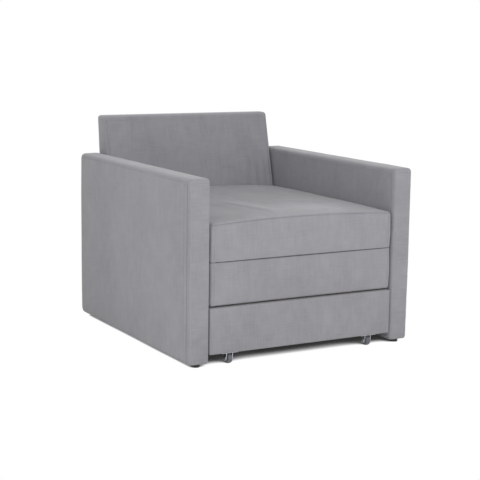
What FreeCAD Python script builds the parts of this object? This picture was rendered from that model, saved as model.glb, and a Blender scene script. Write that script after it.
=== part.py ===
import FreeCAD, Part
import math
import os
import re

import Sketcher

# Convertible chair bed
# An armchair with two slim padded arms, a leaning back and two equal seat cushions in a stack.
# The front panel rolls out on castors and draws a slatted platform from under the seat. The upper
# cushion then flips forward about the seam at its front edge and lies on that platform.
# X runs to the sitter's left, which is the right of someone who faces the chair. The front faces -Y.
# Z is up. Inside this file Y is measured from the front of the arms, and every finished sub-part is
# then shifted so that the origin lies on the floor in the middle of the whole chair.

SIZES = {
    # Arms and the space between them
    "inner_width": 700,           # clear width between the arms
    "arm_thickness": 70,
    "arm_depth": 880,             # front to rear
    "arm_height": 600,            # floor to the top of the arm
    "arm_edge_round": 12,         # soft rounding of an arm's long edges
    "arm_rear_round": 22,         # larger rounding of the top rear corner
    "arm_pad_depth": 10,          # cover and foam together, over the arm's boards
    "arm_board": 4,               # plywood skin of the arm's frame
    "post_width": 60,
    "arm_rail_height": 40,
    "arm_rail_middle": 300,       # underside of the arm's middle rail
    "cover_thickness": 2,         # upholstery cloth with its backing
    "layer_gap": 0.2,             # slack between a cover and what it wraps
    "cutter_run": 2,              # how far a cutter runs past the faces that it opens
    # Feet
    "foot_height": 12,
    "foot_diameter": 26,
    "foot_taper": 1,              # how much smaller the foot's radius is at the floor
    "foot_front": 24,             # foot centre behind the arm's front
    "foot_rear": 48,              # foot centre before the arm's rear
    "foot_recess": 1,             # foot screw's head above the floor
    # Seat tiers, from the floor up
    "tier_setback": 2.3,          # tiers' front faces behind the arms' front faces
    "side_gap": 3,                # slack between a cushion or the front panel and an arm
    "panel_bottom": 37,
    "panel_height": 150,
    "panel_round": 9,
    "panel_foam": 8,
    "deck_gap": 5,                # fixed slats stand this much above the rolling ones
    "lower_cushion_height": 139.8,
    "tier_gap": 1.4,              # room for the cloth hinge between the cushions
    "upper_cushion_height": 123.8,  # at the side edges, where the crown is nil
    "cushion_gap": 4,             # slack behind each cushion
    "cushion_corner": 20,
    "cushion_bulge": 3,           # swell of a cushion's front and rear faces
    "cushion_draw": 2,            # how far a front face pulls in between its corners
    "crown_across": 11.5,         # rise of the seat's top from side to centre
    "crown_along": 3,             # further rise from front edge to the middle of the seat
    "quilt_depth": 12,            # cloth and wadding round a cushion's foam core
    "hinge_leaf": 0.4,            # cloth of the hinge between the cushions
    "hinge_leaf_slack": 0.2,      # each leaf to its own cushion
    "hinge_leaf_depth": 60,
    # Back
    "back_height": 735,
    "back_overhang": 22,          # rear top edge of the back past the arms' rear
    "back_top_depth": 53,         # front to rear along the back's top
    "back_lean": 13.8,            # degrees, front face
    "back_rear_lean": 5.7,        # degrees, rear face
    "back_gap": 6,                # underside of the back above the lower cushion
    "back_side_gap": 5,
    "back_edge_round": 12,
    "back_cover_depth": 6,        # cloth and wadding of the back's cover
    "back_foam": 16,
    "webbing_thickness": 1.5,
    "webbing_width": 50,
    "webbing_pitch": 85,
    "back_side_board": 18,
    "back_rail_height": 40,
    "rear_panel_board": 16,
    # Slatted decks
    "slat_thickness": 19,
    "slat_width": 50,
    "slat_pitch": 62,
    "slat_side_gap": 10,          # least room between the outer slats and the arms
    "board_thickness": 18,        # front board, side rails and cross rails
    "front_rail_gap": 7.7,        # front board to the fixed cross rail behind it
    "front_rail_height": 40,
    "run_gap": 3,                 # free height between a rolling piece and a fixed one
    "ledger_depth": 16,
    "ledger_height": 23,
    "side_rail_bottom": 60,
    "side_rail_height": 58,
    "side_rail_gap": 2,           # side rail to the open side of its guide
    "clip_thickness": 3,
    "clip_length": 20,
    "clip_width": 40,
    "bumper_length": 8,
    "bumper_diameter": 16,
    "bumper_spacing": 200,        # bumper from the middle of the chair
    "corner_block": 20,
    # Guide rails and their rollers
    "guide_height": 40,
    "guide_depth": 18,
    "guide_wall": 2,
    "guide_front": 34,            # where the guide starts behind the arms' front
    "guide_screw_inset": 10,
    "roller_play": 0.5,           # roller to the guide's flange
    "roller_side_play": 0.5,      # roller's faces to the guide's open side and to the clip
    "roller_width": 12,
    "roller_chamfer": 1,
    "roller_axle": 8,
    "roller_setback": 16,         # roller centre before the front face of the rolling rear rail
    "running_play": 0.05,         # radial play of a wheel on its axle
    "axle_clip": 1,               # thickness of the clip that holds a roller
    "axle_rim": 2,                # head, clip or rivet past its axle, all round
    "axle_head": 2,
    "section_start": 1,           # where a turned piece begins on its own axis
    # Castors under the front panel
    "castor_inset": 79,           # castor centre from the end of the front panel
    "castor_setback": 24,         # axle behind the arms' front
    "wheel_diameter": 32,
    "wheel_width": 16,
    "wheel_chamfer": 2,
    "castor_axle": 6,
    "fork_wall": 2,
    "fork_play": 2,               # wheel face to fork cheek
    "fork_lobe": 9,               # radius of the cheek's round lower end
    "rivet_height": 1.5,
    "plate_thickness": 2.5,
    "plate_width": 60,
    "plate_depth": 33,
    "plate_screw_spacing": 42,    # screws of one row from each other
    "castor_block_depth": 32,
    "castor_block_height": 30,
    # Fasteners
    "bolt_diameter": 8,
    "bolt_head": 13,
    "bolt_head_height": 6,
    "bolt_depth": 30,             # bolt head's seat inside the arm, from its inner face
    "bolt_reach": 42,             # bolt's inner end from the arm's inner face
    "barrel_diameter": 12,
    "barrel_inset": 30,
    "barrel_setback": 1,          # barrel nut's ends below the board's faces
    "nut_across": 15,             # nut over its corners
    "nut_height": 7,
    "washer_thickness": 2,
    "washer_diameter": 22,
    "screw_diameter": 4,
    "screw_head": 8,
    "screw_head_height": 1.8,
    "screw_length": 32,
    "hole_play": 0.2,             # radial room of a screw or bolt in its hole
}

SIDES =(("left", -1), ("right", 1))
REAR_BOLT_SHARES = (0.2, 0.8)     # heights of the rear panel's bolts, as shares of its own
BACK_BOLT_SHARES = (0.25, 0.75)   # heights of the back's bolts, from its underside to the arm's top
SAME = 1e-6                       # coordinates closer than this are the same

DOC = FreeCAD.newDocument("ChairBed")
SHEET = DOC.addObject("Spreadsheet::Sheet", "Sizes")
for row, (alias, value) in enumerate(SIZES.items(), 1):
    SHEET.set(f"A{row}", alias)
    SHEET.set(f"B{row}", str(value))
    SHEET.setAlias(f"B{row}", alias)
DOC.recompute()

NODES = []


def bind(formula):
    """Point each size name in a formula at its cell of the sheet."""
    def cell(word):
        return f"Sizes.{word.group()}" if word.group() in SIZES else word.group()
    return re.sub(r"[a-z_]+", cell, str(formula))


def size(formula):
    """Present value of a formula, for the few forms that are worked out in code."""
    return float(SHEET.evalExpression(bind(formula)))


# Levels and faces that several sub-parts share, each written once
HALF = "(inner_width / 2)"
TIER_HALF = f"({HALF} - side_gap)"
ORIGIN_SHIFT = "(-(arm_depth + back_overhang) / 2)"
PANEL_TOP = "(panel_bottom + panel_height)"
DECK_TOP = f"({PANEL_TOP} + deck_gap)"
LOWER_TOP = f"({DECK_TOP} + lower_cushion_height)"
UPPER_BOTTOM = f"({LOWER_TOP} + tier_gap)"
SEAT_TOP = f"({UPPER_BOTTOM} + upper_cushion_height)"
BACK_BOTTOM = f"({LOWER_TOP} + back_gap)"
BACK_HALF = f"({HALF} - back_side_gap)"
BACK_TIMBER_HALF = f"({BACK_HALF} - back_cover_depth - layer_gap)"
FRAME_OFFSET = "(back_cover_depth + back_foam + webbing_thickness)"
FOAM_FRONT = "(tier_setback + cover_thickness)"
BOARD_FRONT = f"({FOAM_FRONT} + panel_foam)"
BOARD_REAR = f"({BOARD_FRONT} + board_thickness)"
FRONT_RAIL = f"({BOARD_REAR} + front_rail_gap)"
FRONT_RAIL_REAR = f"({FRONT_RAIL} + board_thickness)"
FRONT_RAIL_TOP = f"({PANEL_TOP} - slat_thickness - clip_thickness - run_gap)"
SIDE_RAIL_TOP = "(side_rail_bottom + side_rail_height)"
GUIDE_LEVEL = "(side_rail_bottom + side_rail_height / 2)"
GUIDE_OPEN = f"({HALF} - guide_depth)"
SIDE_RAIL_OUT = f"({GUIDE_OPEN} - side_rail_gap)"
SIDE_RAIL_IN = f"({SIDE_RAIL_OUT} - board_thickness)"
CASTOR_MIDDLE = f"({TIER_HALF} - castor_inset)"


def back_face(height, inset="0"):
    """Y of the back's leaning front face at a height, or of a layer behind it."""
    drop = f"(back_height - {height}) * tan(back_lean)"
    return f"(arm_depth + back_overhang - back_top_depth - {drop} + {inset})"


def back_rear(height, inset="0"):
    """Y of the back's rear face at a height, or of a layer before it."""
    drop = f"(back_height - {height}) * tan(back_rear_lean)"
    return f"(arm_depth + back_overhang - {drop} - {inset})"


REAR_FACE = back_rear(BACK_BOTTOM)
REAR_BOARD_REAR = f"({REAR_FACE} - cover_thickness)"
REAR_BOARD_FRONT = f"({REAR_BOARD_REAR} - rear_panel_board)"
LEDGER_FRONT = f"({REAR_BOARD_FRONT} - ledger_depth)"
ROLLING_RAIL_REAR = f"({LEDGER_FRONT} - cushion_gap)"
ROLLING_RAIL_FRONT = f"({ROLLING_RAIL_REAR} - board_thickness)"
ROLLER_Y = f"({ROLLING_RAIL_FRONT} - roller_setback)"


# Building blocks

def place(piece, x, y, z):
    """Bind a piece's position to formulas."""
    for axis, formula in zip("xyz", (x, y, z)):
        piece.setExpression(f"Placement.Base.{axis}", bind(formula))
    return piece


def mirrored(sign, low, high):
    """A span on the right side, or its mirror image on the left."""
    return (low, high) if sign > 0 else (f"-({high})", f"-({low})")


def board(name, x, y, z):
    """A square-edged board between the two ends that it has on each axis."""
    piece = DOC.addObject("Part::Box", name)
    for side, (low, high) in zip(("Length", "Width", "Height"), (x, y, z)):
        piece.setExpression(side, bind(f"({high}) - ({low})"))
    return place(piece, x[0], y[0], z[0])


def rod(name, axis, start, end, across, radius):
    """A round bar along one axis; across holds its centre on the other two."""
    piece = DOC.addObject("Part::Cylinder", name)
    piece.setExpression("Radius", bind(radius))
    piece.setExpression("Height", bind(f"({end}) - ({start})"))
    if axis == "x":
        piece.Placement.Rotation = FreeCAD.Rotation(FreeCAD.Vector(0, 1, 0), 90)
        return place(piece, start, across[0], across[1])
    if axis == "y":
        piece.Placement.Rotation = FreeCAD.Rotation(FreeCAD.Vector(1, 0, 0), -90)
        return place(piece, across[0], start, across[1])
    return place(piece, across[0], across[1], start)


def group(name, pieces):
    """Several solids kept apart in one compound."""
    piece = DOC.addObject("Part::Compound", name)
    piece.Links = list(pieces)
    return piece


def joined(name, pieces):
    """Several shapes that are one solid on the real piece."""
    piece = DOC.addObject("Part::MultiFuse", name)
    piece.Shapes = list(pieces)
    return piece


def cut(name, blank, tool):
    """A blank with a tool's shape taken out of it."""
    piece = DOC.addObject("Part::Cut", name)
    piece.Base = blank
    piece.Tool = tool
    return piece


def node(label, *pieces):
    """A finished sub-part, shifted from the arms' front plane to the chair's own origin."""
    piece = group(label, pieces)
    piece.Label = label
    piece.setExpression("Placement.Base.y", bind(ORIGIN_SHIFT))
    NODES.append(piece)
    return piece


def near(one, other):
    """Whether two coordinates are the same."""
    return abs(one - other) < SAME


def rounded(body, base, name, radius, wanted):
    """Round the edges whose bounding box passes a test."""
    DOC.recompute()
    names = [f"Edge{n}" for n, edge in enumerate(base.Shape.Edges, 1) if wanted(edge.BoundBox)]
    fillet = body.newObject("PartDesign::Fillet", name)
    fillet.Base = (base, names)
    fillet.setExpression("Radius", bind(radius))
    return fillet


def body_block(name, x, y, z):
    """A body that starts as a block."""
    body = DOC.addObject("PartDesign::Body", name)
    block = body.newObject("PartDesign::AdditiveBox", f"{name}_block")
    for side, (low, high) in zip(("Length", "Width", "Height"), (x, y, z)):
        block.setExpression(side, bind(f"({high}) - ({low})"))
    place(block, x[0], y[0], z[0])
    DOC.recompute()
    return body, block


def outline(body, name, plane, corners):
    """A closed sketch of straight sides whose corners are bound to formulas."""
    sketch = body.newObject("Sketcher::SketchObject", name)
    support = [part for part in body.Origin.OriginFeatures if part.Role == plane][0]
    sketch.AttachmentSupport = [(support, "")]
    sketch.MapMode = "FlatFace"
    points = [FreeCAD.Vector(size(u), size(v), 0) for u, v in corners]
    count = len(points)
    for index, point in enumerate(points):
        sketch.addGeometry(Part.LineSegment(point, points[(index + 1) % count]))
    for index in range(count):
        sketch.addConstraint(Sketcher.Constraint("Coincident", index, 2, (index + 1) % count, 1))
    for index, (u, v) in enumerate(corners):
        for kind, letter, formula in (("DistanceX", "u", u), ("DistanceY", "v", v)):
            bound = Sketcher.Constraint(kind, index, 1, size(formula))
            number = sketch.addConstraint(bound)
            sketch.renameConstraint(number, f"{letter}{index}")
            sketch.setExpression(f"Constraints.{letter}{index}", bind(formula))
    return sketch


def prism(name, corners, x):
    """A body with a side outline in Y and Z, as long in X as its span."""
    body = DOC.addObject("PartDesign::Body", name)
    pad = body.newObject("PartDesign::Pad", f"{name}_pad")
    pad.Profile = outline(body, f"{name}_outline", "YZ_Plane", corners)
    body.Tip = pad
    pad.setExpression("Length", bind(f"({x[1]}) - ({x[0]})"))
    body.setExpression("Placement.Base.x", bind(x[0]))
    DOC.recompute()
    return body, pad


def turned(name, section, x, y, z):
    """A body turned about its own X axis from corners of run and radius."""
    body = DOC.addObject("PartDesign::Body", name)
    turn = body.newObject("PartDesign::Revolution", f"{name}_turn")
    sketch = outline(body, f"{name}_section", "XZ_Plane", section)
    turn.Profile = sketch
    turn.ReferenceAxis = (sketch, ["H_Axis"])
    turn.Angle = 360
    body.Tip = turn
    return place(body, x, y, z)


def wheel_section(width, radius, chamfer, bore):
    """Half section of a wheel with chamfered rims, for a turned body."""
    end = f"section_start + {width}"
    return [("section_start", bore), ("section_start", f"{radius} - {chamfer}"),
            (f"section_start + {chamfer}", radius), (f"{end} - {chamfer}", radius),
            (end, f"{radius} - {chamfer}"), (end, bore)]


# Arms

def arm_form(name, sign, inset, edge_round, rear_round, below="0"):
    """The arm's block with all faces but the bottom drawn in, and its soft edges rounded."""
    span = mirrored(sign, f"{HALF} + {inset}", f"{HALF} + arm_thickness - {inset}")
    depth = (inset, f"arm_depth - {inset}")
    body, block = body_block(name, span, depth, (f"foot_height - {below}", f"arm_height - {inset}"))
    box = block.Shape.BoundBox
    corner = rounded(body, block, f"{name}_rear", rear_round,
                     lambda edge: near(edge.YMin, box.YMax) and near(edge.ZMin, box.ZMax))

    def soft(edge):
        side = near(edge.XMin, edge.XMax) and not near(edge.ZMax, box.ZMin)
        front = near(edge.YMax, box.YMin) and near(edge.ZMin, box.ZMax)
        return side or front

    if edge_round:
        rounded(body, corner, f"{name}_edges", edge_round, soft)
    return body


def arm_holes(side, sign):
    """Everything that is bored through an arm's inner side."""
    bolt_hole = "bolt_diameter / 2 + hole_play"
    screw_hole = "screw_diameter / 2 + hole_play"
    holes = []
    for index, across in enumerate(BOLT_PLACES):
        start, end = mirrored(sign, f"{HALF} - cutter_run", f"{HALF} + bolt_depth + cutter_run")
        holes.append(rod(f"bolt_hole_{side}_{index}", "x", start, end, across, bolt_hole))
        start, end = mirrored(sign, f"{HALF} + bolt_depth",
                              f"{HALF} + arm_thickness - arm_pad_depth - arm_board")
        head = "bolt_head / 2 + hole_play"
        holes.append(rod(f"bolt_seat_{side}_{index}", "x", start, end, across, head))
    for index, across in enumerate(GUIDE_SCREWS):
        start, end = mirrored(sign, f"{HALF} - guide_wall - cutter_run",
                              f"{HALF} + screw_length + cutter_run")
        holes.append(rod(f"guide_hole_{side}_{index}", "x", start, end, across, screw_hole))
    return group(f"arm_holes_{side}", holes)


# Heights and depths of the cross bolts: front rail, rear panel twice, back twice
FRONT_BOLT = (f"({FRONT_RAIL} + board_thickness / 2)", f"({FRONT_RAIL_TOP} - front_rail_height / 2)")
REAR_BOLT_Y = f"({REAR_BOARD_FRONT} + rear_panel_board / 2)"
REAR_BOLTS = [(REAR_BOLT_Y, f"(panel_bottom + ({LOWER_TOP} - panel_bottom) * {share})")
              for share in REAR_BOLT_SHARES]


def back_bolt(share):
    """A bolt in the middle of the back's side board, a share of the way up to the arm's top."""
    level = f"({BACK_BOTTOM} + (arm_height - {BACK_BOTTOM}) * {share})"
    face = back_face(level, FRAME_OFFSET)
    rear = back_rear(level, "back_cover_depth")
    return f"(({face} + {rear}) / 2)", level


BACK_BOLTS = [back_bolt(share) for share in BACK_BOLT_SHARES]
BOLT_PLACES = [FRONT_BOLT] + REAR_BOLTS + BACK_BOLTS
GUIDE_REAR = LEDGER_FRONT
GUIDE_SCREWS = [(depth, GUIDE_LEVEL) for depth in
                ("(guide_front + guide_screw_inset)", "(arm_depth / 2)",
                 f"({GUIDE_REAR} - guide_screw_inset)")]


def foot_holes(side, sign):
    """Pilot holes for the two feet's screws."""
    middle = f"({HALF} + arm_thickness / 2) * {sign}"
    hole = "screw_diameter / 2 + hole_play"
    return [rod(f"foot_hole_{side}_{index}", "z", "foot_height - cutter_run",
                "foot_height + screw_length + cutter_run", (middle, depth), hole)
            for index, depth in enumerate(FOOT_PLACES)]


FOOT_PLACES = ("foot_front", "(arm_depth - foot_rear)")

for side, sign in SIDES:
    holes = arm_holes(side, sign)

    # The cover is a sewn sleeve of cloth, open underneath, drawn over the foam
    sleeve = arm_form(f"arm_sleeve_{side}", sign, "0", "arm_edge_round", "arm_rear_round")
    lining = arm_form(f"arm_lining_{side}", sign, "cover_thickness",
                      "arm_edge_round - cover_thickness", "arm_rear_round - cover_thickness",
                      "cutter_run")
    shell = cut(f"arm_shell_{side}", sleeve, lining)
    node(f"arm_cover_{side}", cut(f"arm_cover_bored_{side}", shell, holes))

    # The foam sheet is glued round the boards
    slack = "cover_thickness + layer_gap"
    foam = arm_form(f"arm_foam_{side}", sign, f"({slack})", f"arm_edge_round - {slack}",
                    f"arm_rear_round - {slack}")
    core = arm_form(f"arm_core_{side}", sign, "arm_pad_depth", None,
                    "arm_rear_round - arm_pad_depth", "cutter_run")
    sheet = cut(f"arm_sheet_{side}", foam, core)
    node(f"arm_padding_{side}", cut(f"arm_padding_bored_{side}", sheet, holes))

    # Plywood skins on both faces of the arm's frame
    outer_face = f"({HALF} + arm_thickness - arm_pad_depth)"
    inner_face = f"({HALF} + arm_pad_depth)"
    skins = {"outer": (f"{outer_face} - arm_board", outer_face),
             "inner": (inner_face, f"{inner_face} + arm_board")}
    depth = ("arm_pad_depth", "arm_depth - arm_pad_depth")
    height = ("foot_height", "arm_height - arm_pad_depth")
    for skin, span in skins.items():
        body, block = body_block(f"arm_{skin}_skin_{side}", mirrored(sign, *span), depth, height)
        box = block.Shape.BoundBox
        rounded(body, block, f"arm_{skin}_skin_round_{side}", "arm_rear_round - arm_pad_depth",
                lambda edge: near(edge.YMin, box.YMax) and near(edge.ZMin, box.ZMax))
        bored = cut(f"arm_{skin}_bored_{side}", body, holes) if skin == "inner" else body
        node(f"arm_{skin}_board_{side}", bored)

    # Posts and rails of the frame between the skins
    span = mirrored(sign, f"{inner_face} + arm_board", f"{outer_face} - arm_board")
    front_post = ("arm_pad_depth", "arm_pad_depth + post_width")
    middle_post = ("(arm_depth - post_width) / 2", "(arm_depth + post_width) / 2")
    # The rear post starts before the guide's last screw and also takes the back's bolts
    rear_post = (f"{GUIDE_REAR} - guide_screw_inset * 2", "arm_depth - arm_pad_depth")
    pieces = [board(f"arm_front_post_{side}", span, front_post, height),
              board(f"arm_middle_post_{side}", span, middle_post, height)]
    body, block = body_block(f"arm_rear_post_{side}", span, rear_post, height)
    box = block.Shape.BoundBox
    rounded(body, block, f"arm_rear_post_round_{side}", "arm_rear_round - arm_pad_depth",
            lambda edge: near(edge.YMin, box.YMax) and near(edge.ZMin, box.ZMax))
    pieces.append(body)
    levels = {"bottom": "foot_height", "middle": "arm_rail_middle",
              "top": "(arm_height - arm_pad_depth - arm_rail_height)"}
    bays = {"front": (front_post[1], middle_post[0]), "rear": (middle_post[1], rear_post[0])}
    for level, start in levels.items():
        for bay, run in bays.items():
            pieces.append(board(f"arm_{level}_{bay}_rail_{side}", span, run,
                                (start, f"{start} + arm_rail_height")))
    timber = group(f"arm_timber_{side}", pieces)
    bores = group(f"arm_bores_{side}", [holes] + foot_holes(side, sign))
    node(f"arm_frame_{side}", cut(f"arm_timber_bored_{side}", timber, bores))

# Feet: low plastic glides, each held by one countersunk screw
feet = []
foot_screws = []
for side, sign in SIDES:
    for index, depth in enumerate(FOOT_PLACES):
        middle = f"({HALF} + arm_thickness / 2) * {sign}"
        cone = DOC.addObject("Part::Cone", f"foot_cone_{side}_{index}")
        cone.setExpression("Radius1", bind("foot_diameter / 2 - foot_taper"))
        cone.setExpression("Radius2", bind("foot_diameter / 2"))
        cone.setExpression("Height", bind("foot_height"))
        place(cone, middle, depth, "0")
        head_top = "(foot_recess + screw_head_height)"
        bore = group(f"foot_bore_{side}_{index}", [
            rod(f"foot_drill_{side}_{index}", "z", "-cutter_run", "foot_height + cutter_run",
                (middle, depth), "screw_diameter / 2 + hole_play"),
            rod(f"foot_sink_{side}_{index}", "z", "-cutter_run", head_top, (middle, depth),
                "screw_head / 2 + hole_play")])
        feet.append(cut(f"foot_{side}_{index}", cone, bore))
        foot_screws.append(joined(f"foot_screw_{side}_{index}", [
            rod(f"foot_screw_head_{side}_{index}", "z", "foot_recess", head_top,
                (middle, depth), "screw_head / 2"),
            rod(f"foot_screw_shank_{side}_{index}", "z", "foot_recess",
                "foot_height + screw_length", (middle, depth), "screw_diameter / 2")]))
node("feet", *feet)
node("foot_screws", *foot_screws)

# Cross bolts with barrel nuts join the arms to the front rail and the rear panel. The back's bolts
# pass a spacer and end in a nut and washer inside its side boards.
bolts = []
barrels = []
nuts = []
spacers = []
for side, sign in SIDES:
    for index, across in enumerate(BOLT_PLACES):
        seat = f"{HALF} + bolt_depth"
        shank = mirrored(sign, f"{HALF} - bolt_reach", seat)
        head = mirrored(sign, seat, f"{seat} + bolt_head_height")
        bolts.append(joined(f"bolt_{side}_{index}", [
            rod(f"bolt_shank_{side}_{index}", "x", *shank, across, "bolt_diameter / 2"),
            rod(f"bolt_head_{side}_{index}", "x", *head, across, "bolt_head / 2")]))
    for index, (depth, level) in enumerate([FRONT_BOLT] + REAR_BOLTS):
        middle = f"({HALF} - barrel_inset) * {sign}"
        half = "(rear_panel_board / 2 - barrel_setback)"
        barrel = rod(f"barrel_{side}_{index}", "y", f"{depth} - {half}", f"{depth} + {half}",
                     (middle, level), "barrel_diameter / 2")
        thread = rod(f"barrel_thread_{side}_{index}", "x",
                     *mirrored(sign, f"{HALF} - bolt_reach - cutter_run", HALF), (depth, level),
                     "bolt_diameter / 2 + hole_play")
        barrels.append(cut(f"barrel_nut_{side}_{index}", barrel, thread))
    for index, (depth, level) in enumerate(BACK_BOLTS):
        inner = f"({BACK_TIMBER_HALF} - back_side_board)"
        washer = mirrored(sign, f"{inner} - washer_thickness", inner)
        bore = rod(f"back_nut_bore_{side}_{index}", "x",
                   *mirrored(sign, f"{HALF} - bolt_reach - cutter_run", f"{HALF} + cutter_run"),
                   (depth, level), "bolt_diameter / 2 + hole_play")
        disc = rod(f"back_washer_disc_{side}_{index}", "x", *washer, (depth, level),
                   "washer_diameter / 2")
        nuts.append(cut(f"back_washer_{side}_{index}", disc, bore))
        hexagon = DOC.addObject("Part::Prism", f"back_hexagon_{side}_{index}")
        hexagon.Polygon = 6
        hexagon.setExpression("Circumradius", bind("nut_across / 2"))
        hexagon.setExpression("Height", bind("nut_height"))
        hexagon.Placement.Rotation = FreeCAD.Rotation(FreeCAD.Vector(0, 1, 0), 90)
        start = mirrored(sign, f"{inner} - washer_thickness - nut_height",
                         f"{inner} - washer_thickness")[0]
        place(hexagon, start, depth, level)
        nuts.append(cut(f"back_nut_{side}_{index}", hexagon, bore))
        ring = rod(f"back_ring_{side}_{index}", "x", *mirrored(sign, BACK_HALF, HALF),
                   (depth, level), "washer_diameter / 2")
        spacers.append(cut(f"back_spacer_{side}_{index}", ring, bore))
node("frame_bolts", *bolts)
node("barrel_nuts", *barrels)
node("back_nuts", *nuts)
node("back_spacers", *spacers)


def end_bores(name, places):
    """Bolt and barrel holes in both ends of a rail that stands between the arms."""
    holes = []
    for side, sign in SIDES:
        for index, (depth, level) in enumerate(places):
            span = mirrored(sign, f"{HALF} - bolt_reach - cutter_run", f"{HALF} + cutter_run")
            holes.append(rod(f"{name}_bolt_{side}_{index}", "x", *span, (depth, level),
                             "bolt_diameter / 2 + hole_play"))
            middle = f"({HALF} - barrel_inset) * {sign}"
            holes.append(rod(f"{name}_barrel_{side}_{index}", "y", f"{depth} - board_thickness",
                             f"{depth} + board_thickness", (middle, level),
                             "barrel_diameter / 2 + hole_play"))
    return group(f"{name}_bores", holes)


# Back: a wedge-shaped frame with webbing, a foam sheet and a sewn cover that is open underneath
BACK_SPAN = (f"-{BACK_HALF}", BACK_HALF)
BACK_INNER_HALF = f"({BACK_HALF} - back_cover_depth)"
BACK_INNER_TOP = "(back_height - back_cover_depth)"


def back_layer(low, high, front_inset, rear_inset):
    """Side outline of a layer of the back between two levels."""
    return [(back_face(low, front_inset), low), (back_face(high, front_inset), high),
            (back_rear(high, rear_inset), high), (back_rear(low, rear_inset), low)]


def back_sheet(low, high, front_inset, rear_inset):
    """Side outline of a sheet that lies along the leaning face, both sides measured from it."""
    return [(back_face(low, front_inset), low), (back_face(high, front_inset), high),
            (back_face(high, rear_inset), high), (back_face(low, rear_inset), low)]


sleeve, pad = prism("back_sleeve", back_layer(BACK_BOTTOM, "back_height", "0", "0"), BACK_SPAN)
sleeve_box = pad.Shape.BoundBox
rounded(sleeve, pad, "back_sleeve_edges", "back_edge_round",
        lambda edge: not near(edge.ZMax, sleeve_box.ZMin))
lining, _ = prism("back_lining", back_layer(f"({BACK_BOTTOM} - cutter_run)", BACK_INNER_TOP,
                                            "back_cover_depth", "back_cover_depth"),
                  (f"-{BACK_INNER_HALF}", BACK_INNER_HALF))
back_bores = group("back_bores", [
    rod(f"back_bore_{side}_{index}", "x",
        *mirrored(sign, f"{HALF} - bolt_reach - cutter_run", f"{HALF} + cutter_run"), across,
        "bolt_diameter / 2 + hole_play")
    for side, sign in SIDES for index, across in enumerate(BACK_BOLTS)])
back_shell = cut("back_shell", sleeve, lining)
node("back_cover", cut("back_cover_bored", back_shell, back_bores))

foam_front = "(back_cover_depth + layer_gap)"
foam_rear = "(back_cover_depth + back_foam)"
foam_top = f"({BACK_INNER_TOP} - layer_gap)"
back_foam_body, _ = prism("back_foam_sheet",
                          back_sheet(BACK_BOTTOM, foam_top, foam_front, foam_rear),
                          (f"-{BACK_TIMBER_HALF}", BACK_TIMBER_HALF))
node("back_foam", back_foam_body)

# As many straps as the pitch leaves room for between the bottom rail and the top rail
webbing_room = f"{foam_top} - {BACK_BOTTOM} - back_rail_height * 2 - webbing_width"
strap_count = math.floor(size(f"({webbing_room}) / webbing_pitch")) + 1
straps = []
for index in range(strap_count):
    low =f"({BACK_BOTTOM} + back_rail_height + webbing_pitch * {index})"
    high = f"({low} + webbing_width)"
    strap, _ = prism(f"webbing_strap_{index}", back_sheet(low, high, foam_rear, FRAME_OFFSET),
                     (f"-{BACK_TIMBER_HALF}", BACK_TIMBER_HALF))
    straps.append(strap)
node("back_webbing", *straps)

back_timber = []
for side, sign in SIDES:
    span = mirrored(sign, f"{BACK_TIMBER_HALF} - back_side_board", BACK_TIMBER_HALF)
    side_board, _ = prism(f"back_side_{side}",
                          back_layer(BACK_BOTTOM, foam_top, FRAME_OFFSET,
                                     "(back_cover_depth + layer_gap)"), span)
    back_timber.append(cut(f"back_side_bored_{side}", side_board, back_bores))
rail_half = f"({BACK_TIMBER_HALF} - back_side_board)"
# The middle rail lies between the two bolts
rail_levels = {"bottom": BACK_BOTTOM, "top": f"({foam_top} - back_rail_height)",
               "middle": f"(({BACK_BOTTOM} + arm_height - back_rail_height) / 2)"}
for level, start in rail_levels.items():
    rail, _ = prism(f"back_{level}_rail",
                    back_layer(start, f"({start} + back_rail_height)", FRAME_OFFSET,
                               "(back_cover_depth + layer_gap)"),
                    (f"-{rail_half}", rail_half))
    back_timber.append(rail)
node("back_frame", *back_timber)

# Rear panel below the back, clothed on its outside
rear_level = ("panel_bottom", f"{BACK_BOTTOM} - cover_thickness")
rear_blank = board("rear_panel_blank", (f"-{HALF}", HALF), (REAR_BOARD_FRONT, REAR_BOARD_REAR),
                   rear_level)
node("rear_panel", cut("rear_panel_bored", rear_blank, end_bores("rear_panel", REAR_BOLTS)))
node("rear_panel_cover", board("rear_panel_cloth", (f"-{HALF}", HALF),
                               (REAR_BOARD_REAR, REAR_FACE), rear_level))

# Fixed deck: a cross rail at the front, a ledger at the rear, and every other slat
front_level = (f"{FRONT_RAIL_TOP} - front_rail_height", FRONT_RAIL_TOP)
front_blank = board("seat_front_blank", (f"-{HALF}", HALF), (FRONT_RAIL, FRONT_RAIL_REAR),
                    front_level)
node("seat_front_rail", cut("seat_front_bored", front_blank, end_bores("front_rail", [FRONT_BOLT])))
slat_under = f"({DECK_TOP} - slat_thickness)"
node("rear_ledger", board("rear_ledger_strip", (f"-{TIER_HALF}", TIER_HALF),
                          (LEDGER_FRONT, REAR_BOARD_FRONT),
                          (f"{slat_under} - ledger_height", slat_under)))

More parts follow.
